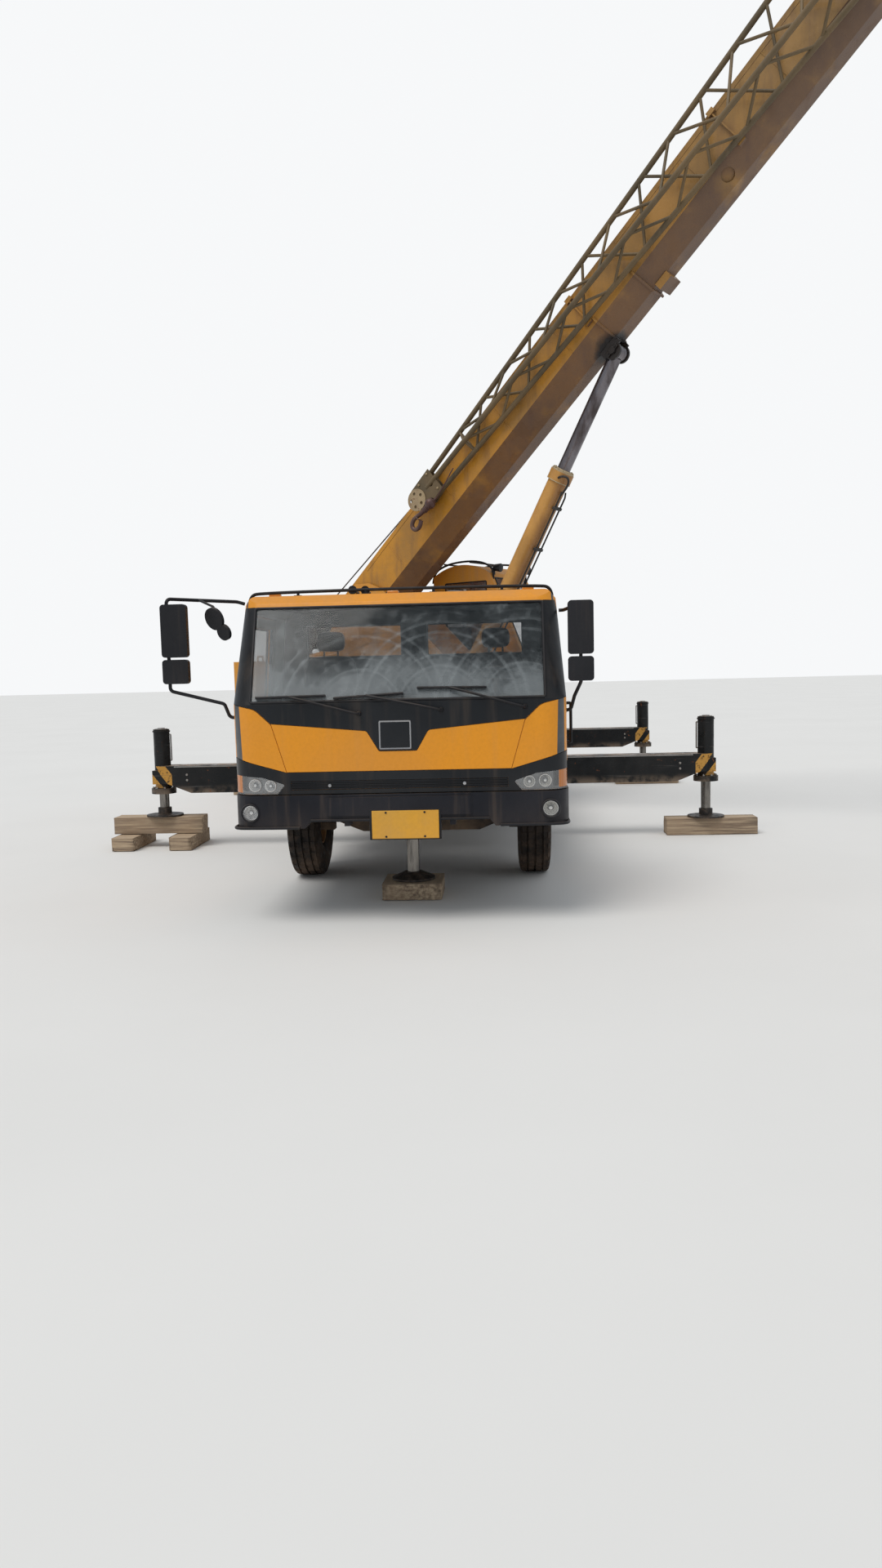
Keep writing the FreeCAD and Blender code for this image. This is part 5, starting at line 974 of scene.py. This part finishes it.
# %% Dashboard and seats
CLOTH = Recipe("seat_cloth")
cloth_tone = CLOTH.mix(CLOTH.noise(7, 5).band(0.35, 0.7), (0.055, 0.055, 0.062), (0.13, 0.12, 0.115))
CLOTH.set(Base_Color=cloth_tone, Roughness=CLOTH.noise(30, 3).band(-0.5, 0.7, 0.98), Sheen_Weight=0.3)
CLOTH.bump((CLOTH.y * 900).math("SINE") + (CLOTH.z * 900).math("SINE"), 0.0006)


def cushion(low, high, crown=0.10):
    """A padded block: divided, pulled in at the rims of its faces, and smoothed."""
    piece = worked(block(low, high), anywhere, ("divide", 3))
    middle, half = (Vector(low) + Vector(high)) / 2, (Vector(high) - Vector(low)) / 2
    for corner in piece.data.vertices:
        place = [(corner.co[i] - middle[i]) / half[i] for i in range(3)]
        for i in range(3):
            rim = max(abs(place[k]) for k in range(3) if k != i)
            corner.co[i] -= place[i] * half[i] * crown * rim ** 2
    return applied(piece, "SUBSURF", levels=2, render_levels=2)


def loose_copies(node):
    """Each loose solid of a node as its own copy, the one with the most corners first."""
    from_frame(node)
    bpy.ops.object.mode_set(mode="EDIT")
    bpy.ops.mesh.separate(type="LOOSE")
    bpy.ops.object.mode_set(mode="OBJECT")
    return sorted(bpy.context.selected_objects, key=lambda piece: -len(piece.data.vertices))


dashboard, *plain_seats = loose_copies("cab_interior")
for seat in plain_seats:
    bpy.data.objects.remove(seat)
ready("dashboard", "carrier", INSIDE, [rounded(dashboard, 0.006)], instead=["cab_interior"])
cushions, frames = [], []
for y in (0.72, -0.72):
    back = cushion((-0.055, y - 0.24, 0.0), (0.075, y + 0.24, 0.56))
    rest = cushion((-0.045, y - 0.125, 0.0), (0.045, y + 0.125, 0.175), 0.14)
    cushions += [cushion((5.44, y - 0.25, 1.40), (5.96, y + 0.25, 1.545)),
                 moved(back, at(5.395, 0, 1.47) @ Matrix.Rotation(-0.20, 4, "Y")),
                 moved(rest, at(5.275, 0, 2.055) @ Matrix.Rotation(-0.12, 4, "Y"))]
    frames.append(block((5.50, y - 0.20, 1.2155), (5.90, y + 0.20, 1.40), 0.01))
    frames += [bar((5.300, y + post, 1.98), (5.272, y + post, 2.09), 0.008, 10) for post in (-0.06, 0.06)]
ready("cab_seats", "carrier", CLOTH.material, cushions, instead=["cab_interior"], smooth=60)
ready("cab_seat_bases", "carrier", INSIDE, frames, instead=["cab_interior"])

consoles = loose_copies("crane_cab_interior")
crane_seat = max(consoles, key=lambda piece: max(v.co.z for v in piece.data.vertices))
consoles.remove(crane_seat)
applied(crane_seat, "BEVEL", width=0.03, segments=3, limit_method="ANGLE", angle_limit=0.6)
applied(crane_seat, "SUBSURF", levels=1, render_levels=1)
ready("crane_cab_seat", "superstructure", CLOTH.material, [crane_seat],
                instead=["crane_cab_interior"], smooth=60)
ready("crane_cab_consoles", "superstructure", INSIDE, [rounded(merged(consoles), 0.012)],
      instead=["crane_cab_interior"])

# %% [markdown]
# ## Ropes on the drums, and the hoist rope
# A steel rope lies in close turns on each winch drum. One turn is a thin ring, and rings laid
# side by side read as a wound drum. The hoist rope then leaves the top of the drum, climbs to
# the boom's top side and runs along it to the head. It crosses the boom's hinge; the run along
# the boom rides with the boom, and the run up from the drum is left unattached.

# %% Rope finish, wound drums and hoist rope
WIRE = Recipe("greased_wire_rope")
rope_tone = WIRE.mix(WIRE.noise(9, 5).band(0.35, 0.65), (0.055, 0.045, 0.036), (0.16, 0.135, 0.11))
WIRE.set(Base_Color=rope_tone, Metallic=0.6, Roughness=WIRE.noise(14, 4).band(-0.4, 1.0, 0.8))
ROPE = WIRE.bump(((WIRE.x + WIRE.z) * 420).math("SINE"), 0.0015)
ROPE_SIZE, ROPE_RADIUS, DRUM_RADIUS, DRUM_LENGTH = 0.019, 0.009, 0.170, 0.445


def on_house(x, y, z):
    """A point in the truck's frame from its place on the superstructure, drawn with the boom along X."""
    return HOUSE_TURN @ Vector((x, y, z))


for name, x, z in (("main_winch_rope", -2.33, 2.42), ("spare_winch_rope", -1.73, 1.86)):
    turns = [hoop((0, ROPE_SIZE * (i + 0.5) - DRUM_LENGTH / 2, 0), DRUM_RADIUS + ROPE_SIZE / 2, ROPE_SIZE / 2, 40, 6,
                  (math.pi / 2, 0, 0)) for i in range(int(DRUM_LENGTH / ROPE_SIZE))]
    ready(name, "superstructure", ROPE, turns, HOUSE_TURN @ at(x, 0, z), smooth=60)

lift_off, guide = on_house(-2.36, 0.02, 2.42 + 0.207), on_boom(3.30, 0.05, 0.335)
over_tail = lift_off.lerp(guide, 0.24)
rope_run = merged([bar(lift_off, over_tail, ROPE_RADIUS, 10), bar(over_tail, guide, ROPE_RADIUS, 10)])
rope_run.name = "hoist_rope_to_boom"
rope_run.data.materials.append(ROPE)
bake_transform(rope_run)

along_top = [bar(guide, on_boom(9.2, 0.05, 0.335), ROPE_RADIUS, 10)]
for s in (3.30, 6.1, 8.9):
    along_top += [bar(on_boom(s, y, 0.262), on_boom(s, y, 0.352), 0.008, 10, 0.002, 1) for y in (-0.04, 0.14)]
    for n, radius, sides in ((0.314, 0.012, 16), (0.352, 0.007, 12)):
        along_top.append(bar(on_boom(s, -0.045, n), on_boom(s, 0.145, n), radius, sides))
    along_top.append(moved(block((s - 0.03, -0.06, 0.262), (s + 0.03, 0.16, 0.272), 0.003, 1), TO_BOOM))
ready("hoist_rope_on_boom", "boom", ROPE, along_top)

# %% [markdown]
# ## Fittings of the boom and its cylinder
# Hydraulic lines run up the barrel to the gland, where a short hose bends over to the port.
# The gland's cap is held by a ring of bolts. On the boom there are stiffening strips along
# the base section's edges, wear-pad adjusters in the collar, and a black hose bundle along the
# side. All of them are laid out in the boom's own directions.

# %% Gland, lines and boom fittings
BARREL_FOOT = on_house(0.408, 0, 1.788)
TO_BARREL = set_out(BARREL_FOOT, (on_boom(4.51, 0, -0.524) - BARREL_FOOT).normalized(), LEFT)
BEIGE = steel("gland_beige_paint", (0.58, 0.45, 0.26), (0.46, 0.36, 0.22), dust=0.25, splash=0.2, chips=0.7)
HOSE = steel("hose_rubber", (0.018, 0.018, 0.019), (0.04, 0.037, 0.035), (0.09, 0.08, 0.07), dust=0.3, splash=0.3,
             rough=0.6, chips=0.76, pits=0.0004)

gland = [bar((2.868, 0, 0), (2.888, 0, 0), 0.142, 48), bar((2.888, 0, 0), (2.902, 0, 0), 0.104, 48, tip=0.094),
         bar((2.742, 0, 0), (2.752, 0, 0), 0.1525, 48), bar((2.735, 0, 0), (2.742, 0, 0), 0.132, 48, tip=0.150)]
cap_bolt = nut(0.013, 0.012, 0.004, Matrix.Rotation(-math.pi / 2, 4, "Z"))
gland += copies(cap_bolt, round_axis("X", 12, (0, 0, 0.122), at(2.888, 0, 0)))
bpy.data.objects.remove(cap_bolt)
ready("gland_cap", "luff_barrel", BEIGE, [outward(rounded(merged(gland), 0.002, 1))], TO_BARREL)

lines = []
for side in (-1, 1):
    y = 0.06 * side
    lines.append(pipe([(0.30, y, -0.120), (0.34, y, -0.150), (2.60, y, -0.150), (2.66, 0.05 * side, -0.134)],
                      0.011, 0.04))
lines.append(bent([(2.62, -0.06, -0.146), (2.74, -0.10, -0.215), (2.86, -0.14, -0.20), (2.84, -0.16, -0.10),
                   (2.80, -0.135, -0.06)], 0.014))
lines += [block((x - 0.018, -0.085, -0.168), (x + 0.018, 0.085, -0.124), 0.004, 1) for x in (0.7, 1.3, 1.9, 2.45)]
ready("barrel_lines", "luff_barrel", HOSE, lines, TO_BARREL)

strips = []
for side in (-1, 1):
    web = side * 0.294
    strips += [block((start, web - 0.004, 0.205), (end, web + 0.004, 0.262)) for start, end in ((0.25, 4.55), (5.35, 9.10))]
    for s in (9.175, 9.265):
        for n in (0.12, -0.10):
            strips += [bar((s, side * 0.31, n), (s, side * out, n), radius, 6, 0.002, 1)
                       for out, radius in ((0.338, 0.017), (0.322, 0.028))]
    for s in (0.75, 1.9, 3.05, 4.2, 6.4, 7.6, 8.8):
        strips.append(block((s - 0.006, web - 0.006, -0.235), (s + 0.006, web + 0.006, 0.20)))
ready("boom_strips", "boom", BOOM, [rounded(merged(strips), 0.002, 1)], TO_BOOM)

bundle = [bent([(-0.20, 0.345, n - 0.28), (0.10, 0.330, n - 0.03), (0.60, 0.318, n), (2.0, 0.314, n + 0.012),
                (3.6, 0.314, n - 0.008), (4.60, 0.314, n), (4.85, 0.312, n - 0.06), (4.95, 0.298, n - 0.16)], 0.013)
          for n in (0.10, 0.066, 0.032)]
bundle += [block((s - 0.02, 0.292, -0.01), (s + 0.02, 0.336, 0.13), 0.005, 1) for s in (0.75, 1.9, 3.05, 4.2)]
bundle += [block((s, 0.294, -0.12), (s + 0.22, 0.352, 0.04), 0.012) for s in (5.05, 6.9)]
ready("boom_hoses", "boom", HOSE, bundle, TO_BOOM)

# %% [markdown]
# ## Pins
# Pins are what make a crane, and each has a keeper plate with two bolts so that it can't turn
# or walk out. They are alike, so one keeper is made and copied to the boom's foot, the
# cylinder's head eye, and the boom's head.

# %% Keeper plates
keeper = merged([block((-0.085, 0.0, -0.028), (0.085, 0.012, 0.028), 0.004),
                 *(nut(0.016, 0.012, 0.003, at(x, 0.012, 0)) for x in (-0.055, 0.055)),
                 bar((0, -0.01, 0.0), (0, 0.018, 0.0), 0.045, 32, 0.006)])


def both_sides(base, x, y, z, size=1.0):
    """Places on both sides of a pin, where the keeper's +Y looks outwards."""
    return [base @ at(x, side * y, z) @ Matrix.Diagonal((size, side * size, size, 1)) for side in (-1, 1)]


for pin, body, slot, finish, places in (
        ("house", "superstructure", "body_yellow", HOUSE_YELLOW,
         both_sides(HOUSE_TURN, -1.1, 0.385, 2.93, 1.25) + both_sides(HOUSE_TURN, 0.408, 0.384, 1.788, 1.1)),
        ("boom", "boom", "boom_yellow", BOOM, both_sides(TO_BOOM, 4.51, 0.136, -0.524)),
        ("head", "boom_head", "boom_yellow", TUBE,
         both_sides(TO_BOOM, 10.28, 0.15, -0.485, 0.9) + both_sides(TO_BOOM, 10.25, 0.15, 0.20, 0.9))):
    ready(pin + "_pin_keepers", body, finish, [outward(merged(copies(keeper, places)))])
bpy.data.objects.remove(keeper)

# %% [markdown]
# ## Outriggers, jacks and mats
# The flange under each jack tube is held by eight bolts, and a thin guard strip runs along the
# beam's upper edges, where the paint has been rubbed off. The mats are old squared timbers.
# Each copy of a mat gets rounded edges, is divided, and its faces are pushed in a little by a
# cloud pattern, so that no edge is straight any more.

# %% Bolts, guard strips and worn timbers
flange_bolt = nut(0.015, 0.014, 0.007, Matrix.Rotation(math.pi / 2, 4, "X"))
for corner, x, side in zip(CORNERS, (2.659, 2.941, -2.791, -2.509), (1, -1, 1, -1)):
    y = side * 3.0
    made = copies(flange_bolt, round_axis("Z", 8, (0.112, 0, 0), at(x, y, 0.648), 0.5))
    for edge in (x - 0.1245, x + 0.1245):
        made.append(block((edge - 0.003, side * 1.10, 0.882), (edge + 0.003, side * 2.84, 0.894)))
    for z in (0.80, 0.74):
        made.append(bar((x + 0.122, side * 2.70, z), (x + 0.1295, side * 2.70, z), 0.014, 6, 0.0015, 1))
    made.append(worked(bar((x, y, 1.2995), (x, y, 1.306), 0.070, 32), (0, 0, 1), ("inset", 0.03),
                       ("pull", (0, 0, 0.008))))
    line = ((side * 2.92, 1.24), (side * 2.897, 1.24), (side * 2.897, 0.955), (side * 2.92, 0.955))
    made.append(pipe([(x, *place) for place in line], 0.008, 0.012))
    ready("outrigger_fittings_" + corner, "outrigger_" + corner, BARE,
          [outward(rounded(merged(made), 0.0015, 1))])
bpy.data.objects.remove(flange_bolt)

clouds = bpy.data.textures.new("worn_wood", "CLOUDS")
clouds.noise_scale, clouds.noise_depth = 0.11, 3
mats = []
for mat in loose_copies("timber_pads"):
    worked(rounded(mat, 0.009), anywhere, ("divide", 5))
    mats.append(applied(mat, "DISPLACE", texture=clouds, texture_coords="LOCAL", strength=0.012, mid_level=1.0))
ready("worn_timber_mats", "carrier", WOOD, mats, instead=["timber_pads"], smooth=50)

# %% [markdown]
# ## The crane driver's cab
# The little cab on the boom's left has a curved roof. Rubber holds its panes, a wiper lies on
# the raked front, a pair of work lamps look ahead, and two black guard pipes arch over the
# roof to keep the hoses off it, as the photograph shows.

# %% Crane cab fittings
def on_front(y, z, out=0.002):
    """A point on the crane cab's front face, which leans back above its knee."""
    return 0.95 - max(0.0, z - 2.10) * 0.47 / 1.06 + out, y, z


pane = ((0.502, 1.885), (1.258, 1.885), (1.258, 2.10), (1.258, 3.098), (0.502, 3.098), (0.502, 2.10))
fitted = [loop([on_front(y, z) for y, z in pane], 0.010),
          loop([(-0.258, 0.429, 2.152), (0.418, 0.429, 2.152), (0.418, 0.429, 3.058), (-0.258, 0.429, 3.058)], 0.009),
          loop([(-0.521, 0.542, 2.252), (-0.521, 1.218, 2.252), (-0.512, 1.218, 3.028), (-0.512, 0.542, 3.028)], 0.009),
          bar(on_front(0.74, 2.20, 0.014), on_front(0.86, 2.72, 0.014), 0.008, 8),
          bent([on_front(1.02, 2.95, 0.01), on_front(0.99, 2.90, 0.045), on_front(0.82, 2.52, 0.048868),
                on_front(0.80, 2.46, 0.018)], 0.007),
          staple((0.36, 1.374, 2.05), (0, 0.046, 0), (0, 0, 0.57), 0.012)]
for y in (0.52, 1.24):
    fitted += [bar((0.50, y, 3.235), (0.60, y, 3.225), 0.045, 24, 0.006, tip=0.058),
               block((0.45, y - 0.012, 3.14), (0.50, y + 0.012, 3.24), 0.003, 1)]
ARCH = ((-0.50, 3.08), (-0.49, 3.22), (-0.25, 3.33), (0.13, 3.352), (0.40, 3.30), (0.53, 3.18), (0.50, 3.06))
fitted += [bent([(x, y, z) for x, z in ARCH], 0.014) for y in (0.47, 1.29)]
fitted += [bar((x, 0.47, 3.33), (x, 1.29, 3.33), 0.011, 12) for x in (-0.30, 0.13)]
ready("crane_cab_fittings", "superstructure", PLASTIC, fitted, HOUSE_TURN)

# %% [markdown]
# ## The deck and the frame's sides
# The boxes along the frame are tanks and lockers: steel straps, a filler cap, latches and
# hinges make them so. A ladder hangs between the front wheel and the lockers, each rear wheel
# has a rubber flap behind it, and the rear has two towing jaws. The control stands on the
# deck's edge have a row of levers for the outriggers.

# %% Lockers, ladders, flaps and control stands
def ball(centre, radius, segments, rings):
    return added(bpy.ops.mesh.primitive_uv_sphere_add, segments=segments, ring_count=rings, radius=radius,
                 location=centre)


sides = [bar((1.42, -1.205, 1.09), (1.42, -1.245, 1.11), 0.045, 28, 0.008, tip=0.038)]
for low_x, high_x, low_z, side in ((1.25, 2.25, 0.66, -1), (1.25, 2.25, 0.75, 1), (3.28, 3.92, 0.76, 1),
                                   (3.28, 3.92, 0.76, -1)):
    face, proud, middle = side * 1.21, side * 1.216, (low_x + high_x) / 2
    for x in (low_x + 0.18, high_x - 0.18):
        sides.append(pipe([(x, side * 0.60, low_z - 0.004), (x, proud, low_z - 0.004), (x, proud, 1.16)], 0.008))
        sides.append(bar((x - 0.05, proud, 1.09), (x + 0.05, proud, 1.09), 0.010, 12, 0.003, 1))
    sides += [block((middle - 0.045, face, low_z + 0.10), (middle + 0.045, side * 1.222, low_z + 0.17), 0.005),
              staple((middle - 0.03, side * 1.22, low_z + 0.12), (0, side * 0.022, 0), (0.06, 0, 0), 0.006, 0.01),
              block((low_x + 0.05, face, low_z + 0.05), (high_x - 0.05, side * 1.213, 1.06), 0.0015, 1)]
for side in (-1, 1):
    y = side * 1.15
    sides += [pipe([(x, side * 1.10, 1.19), (x, y, 1.17), (x, y, 0.50)], 0.012) for x in (3.965, 4.175)]
    sides += [block((3.96, y - 0.035, z - 0.008), (4.18, y + 0.035, z + 0.008), 0.003, 1) for z in (0.52, 0.74, 0.96)]
    for x in (-1.75, -1.695, -1.64, -1.585, -1.53):
        sides.append(bar((x, side * 1.20, 1.30), (x, side * 1.215, 1.42), 0.005, 8))
        sides.append(ball((x, side * 1.216, 1.425), 0.013, 12, 8))
    sides += [block((-1.80, side * 1.20 - 0.045, 1.2105), (-1.48, side * 1.20 + 0.045, 1.305), 0.012),
              block((-3.20, side * 0.40 - 0.05, 0.70), (-3.15, side * 0.40 + 0.05, 0.86), 0.008),
              staple((-3.19, side * 0.40, 0.73), (-0.08, 0, 0), (0, 0, 0.10), 0.014, 0.03),
              bar((-1.60, side * 0.50, 1.02), (-1.60, side * 1.235, 1.02), 0.018, 14)]
    sides += [bar((-1.60, side * y, 1.02), (-1.60, side * y, 1.185), 0.012, 10) for y in (0.70, 1.14)]
ready("frame_side_fittings", "carrier", CHASSIS, sides)
flaps = []
for side in (-1, 1):
    flap = block((-1.606, side * 0.63, 0.42), (-1.596, side * 1.22, 1.015))
    flaps.append(worked(flap, lambda centre, normal: abs(normal.x) > 0.9, ("divide", 7)))
    for corner in flap.data.vertices:
        droop = (1.015 - corner.co.z) / 0.6
        corner.co.x -= 0.03 * droop ** 2 + 0.006 * math.sin(9 * corner.co.y) * droop
ready("rubber_mud_flaps", "carrier", HOSE, flaps, smooth=60)

# %% [markdown]
# ## Ballast and hook
# The ballast hangs from lifting eyes, and its bolts are capped. The hook block's cheeks are
# bolted round their edges, and the hook has its safety latch. Small things, but they tell the
# size of the machine.

# %% Eyes, bolts, the latch and the rope on the boom's sections
weights = [staple((x, y - 0.05, 2.055), (0, 0, 0.075), (0, 0.10, 0), 0.014, 0.035)
           for y in (-0.85, 0.85) for x in (-2.62, -2.92)]
weights += [bar((-3.058, y, z), (-3.072, y, z), 0.035, 24, 0.006) for y in (-0.62, -0.2, 0.2, 0.62) for z in (1.98, 1.52)]
weights.append(block((-3.066, -0.80, 1.735), (-3.056, 0.80, 1.747), 0.003, 1))
ready("ballast_fittings", "superstructure", BALLAST, weights, HOUSE_TURN)

low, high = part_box("hook_block")
drop = high.z - 1.25
hook = [bar((0, 0, drop - 0.455), (0, 0, drop - 0.42), 0.062, 28, 0.004, 1, tip=0.078),
        bar((-0.045, 0, drop - 0.555), (-0.115, 0, drop - 0.640), 0.008, 10)]
for side in (-1, 1):
    hook += [bar((x, side * 0.099, z), (x, side * 0.114, z), 0.020, 6, 0.003, 1)
             for x in (-0.15, 0.15) for z in (drop - 0.02, drop - 0.36)]
    hook.append(bar((0, side * 0.099, drop - 0.19), (0, side * 0.118, drop - 0.19), 0.062, 32, 0.006))
ready("hook_fittings", "hook_block", WINCH, hook,
      at((low.x + high.x) / 2, (low.y + high.y) / 2, 0) @ HOUSE_TURN)
for body, start, end, radius in (("boom_section_2", 2.4, 9.44, 0.0088), ("boom_section_3", 2.45, 9.68, 0.0086),
                                 ("boom_head", 2.5, 10.22, 0.0084)):
    ready("hoist_rope_" + body, body, ROPE,
          [bar(on_boom(start, 0.05, 0.335), on_boom(end, 0.05, 0.335), radius, 10)])

# %% [markdown]
# ## The stowed jib's head
# The lattice jib lies along the boom with its small end towards the ground. That end has two
# cheek plates with a rope sheave between them, and its own small hook is tied beside it. The
# outer cheek gets a round cover with lightening holes; the hook is a bent bar with a swivel
# above it and a ball weight, as single-line hooks have.

# %% Sheave cover, ball and small hook
CHEEK = steel("jib_cheek_tan", (0.42, 0.32, 0.18), (0.26, 0.18, 0.11), dust=0.3, splash=0.2, rough=0.55, chips=0.6,
              streak=0.4)
HOOK_IRON = steel("jib_hook_iron", (0.085, 0.045, 0.045), (0.13, 0.075, 0.06), metal=0.35, dust=0.3, splash=0.2,
                  rough=0.5, chips=0.6)
CHEEK_Y = -0.452
HANG_Y = CHEEK_Y - 0.035
cover = bar((1.55, CHEEK_Y + 0.001, 0.159), (1.55, CHEEK_Y - 0.012, 0.159), 0.142, 48)
rounded(worked(cover, (0, -1, 0), ("inset", 0.014), ("move", (0, 0.005, 0)), ("inset", 0.080),
               ("move", (0, -0.009, 0))), 0.0025)
for i in range(5):
    hole = moved(bar((0, CHEEK_Y - 0.03, 0.088), (0, CHEEK_Y + 0.02, 0.088), 0.021, 20),
                 at(1.55, 0, 0.159) @ Matrix.Rotation(2 * math.pi * i / 5 + 0.3, 4, "Y"))
    applied(cover, "BOOLEAN", object=hole, operation="DIFFERENCE", solver="EXACT")
    bpy.data.objects.remove(hole)
cheek = [cover]
for s, n in ((1.50, 0.02), (1.70, -0.01), (1.88, 0.02), (1.88, 0.28), (1.70, 0.27)):
    cheek.append(outward(nut(0.016, 0.014, 0.006, at(s, CHEEK_Y, n) @ Matrix.Diagonal((1, -1, 1, 1)))))
ready("jib_sheave_cover", "boom", CHEEK, cheek, TO_BOOM)

shank = ((1.62, -0.055), (1.52, -0.045), (1.44, -0.02), (1.35, 0.0), (1.27, -0.045), (1.28, -0.125), (1.37, -0.15),
         (1.43, -0.10))
hook = [bent([(s, HANG_Y, n) for s, n in shank], 0.028, 4), ball((1.68, HANG_Y - 0.012, -0.06), 0.070, 28, 16),
        bar((1.55, HANG_Y, -0.048), (1.62, HANG_Y, -0.056), 0.040, 24, 0.006),
        bar((1.70, HANG_Y, -0.065), (1.80, HANG_Y, -0.075), 0.022, 20, tip=0.013),
        bent([(1.80, HANG_Y, -0.075), (2.00, HANG_Y, -0.05), (2.12, HANG_Y + 0.03, 0.0), (2.20, HANG_Y + 0.055, 0.03)],
             0.008)]
for s in (1.42, 1.74):
    hook.append(pipe([(s, CHEEK_Y + 0.004, -0.02), (s, HANG_Y - 0.03, -0.02), (s, HANG_Y - 0.03, -0.075),
                      (s, CHEEK_Y + 0.01, -0.075)], 0.006, 0.01))
ready("jib_hook", "boom", HOOK_IRON, hook, TO_BOOM)

# %% [markdown]
# ## Hatches and the rear face
# Plates over the tanks and the gearbox lie on the deck with hinges and flat pull rings. At
# the rear, a steel frame divides each tail lamp into its three fields, bolts hold the cross
# member, and an underrun bar hangs below the frame. The photograph hides all of this, so it
# is kept plain.

# %% Hatches, lamp frames and the underrun bar
rear_bolt = nut(0.018, 0.014, 0.008, Matrix.Rotation(math.pi / 2, 4, "Z"))
deck, rear = [], [block((-3.14, -1.15, 0.48), (-3.05, 1.15, 0.59), 0.010)]
for side in (-1, 1):
    near, lip = side * 0.60, side * 1.05
    for start, end in ((1.35, 2.05), (3.16, 3.74)):
        left, right = (start + end) / 2 - 0.05, (start + end) / 2 + 0.05
        deck.append(block((start, near, 1.2105), (end, side * 1.10, 1.2150), 0.0018, 1))
        deck += [bar((x - 0.045, near, 1.2185), (x + 0.045, near, 1.2185), 0.008, 12, 0.002, 1)
                 for x in (start + 0.12, end - 0.12)]
        deck.append(staple((left, lip, 1.217), (0, side * -0.06, 0.003), (right - left, 0, 0), 0.005, 0.015))
    for z in (1.030, 1.140):
        rear.append(block((-3.217, side * 0.675, z - 0.005), (-3.150, side * 1.015, z + 0.005)))
    inner, outer = sorted((side * 0.68, side * 1.01))
    for share in (0, 0.34, 0.67, 1):
        y = inner + (outer - inner) * share
        rear.append(block((-3.216, y - 0.004, 1.030), (-3.150, y + 0.004, 1.140)))
    rear.append(block((-3.13, side * 0.42 - 0.035, 0.58), (-3.06, side * 0.42 + 0.035, 0.63), 0.006, 1))
    rear += copies(rear_bolt, [at(-3.149, side * y, z) for y in (0.10, 0.30, 0.50) for z in (1.03, 1.13)])
bpy.data.objects.remove(rear_bolt)
ready("deck_hatches", "carrier", DECK, deck)
ready("rear_fittings", "carrier", CHASSIS, [outward(merged(rear))])

# %% [markdown]
# ## Floor and light
# The crane stands on a plain pale floor under a soft, cloudy light. The sky is a little
# brighter than the lamps, as on the day of the photograph, and a wide sun gives the shadows
# their direction. The camera sees white behind the crane, and so does light that passes through the glass.

# %% Floor, sky and lamps
floor = added(bpy.ops.mesh.primitive_plane_add, size=260, location=(0, 0, -0.001))
floor.name = "floor"
pale = Recipe("pale_floor")
pale.set(Base_Color=pale.mix(pale.noise(0.4, 4), (0.80, 0.79, 0.77), (0.74, 0.73, 0.71)), Roughness=0.9)
floor.data.materials.append(pale.material)

world = bpy.data.worlds.new("cloudy_sky")
bpy.context.scene.world = world
world.use_nodes = True
sky, ties = world.node_tree.nodes, world.node_tree.links
path = sky.new("ShaderNodeLightPath")
seen = sky.new("ShaderNodeMath")
seen.operation = "MAXIMUM"
ties.new(path.outputs["Is Camera Ray"], seen.inputs[0])
ties.new(path.outputs["Is Transmission Ray"], seen.inputs[1])
shown = sky.new("ShaderNodeBackground")
shown.inputs["Color"].default_value = (0.93, 0.94, 0.95, 1)
lit = sky["Background"]
lit.inputs["Color"].default_value = (0.90, 0.95, 1.0, 1)
lit.inputs["Strength"].default_value = 0.62
choose = sky.new("ShaderNodeMixShader")
ties.new(seen.outputs[0], choose.inputs["Fac"])
ties.new(lit.outputs[0], choose.inputs[1])
ties.new(shown.outputs[0], choose.inputs[2])
ties.new(choose.outputs[0], sky["World Output"].inputs["Surface"])

sun = bpy.data.lights.new("wide_sun", "SUN")
sun.energy, sun.angle, sun.color = 1.5, math.radians(35), (1.0, 0.97, 0.93)
lamp = bpy.data.objects.new("wide_sun", sun)
lamp.rotation_euler = Vector((0.45, -0.35, 1.0)).to_track_quat("Z", "Y").to_euler()
bpy.context.scene.collection.objects.link(lamp)
bpy.context.scene.view_settings.view_transform = "Standard"
print("light: sky %.2f, sun %.2f" % (lit.inputs["Strength"].default_value, sun.energy))
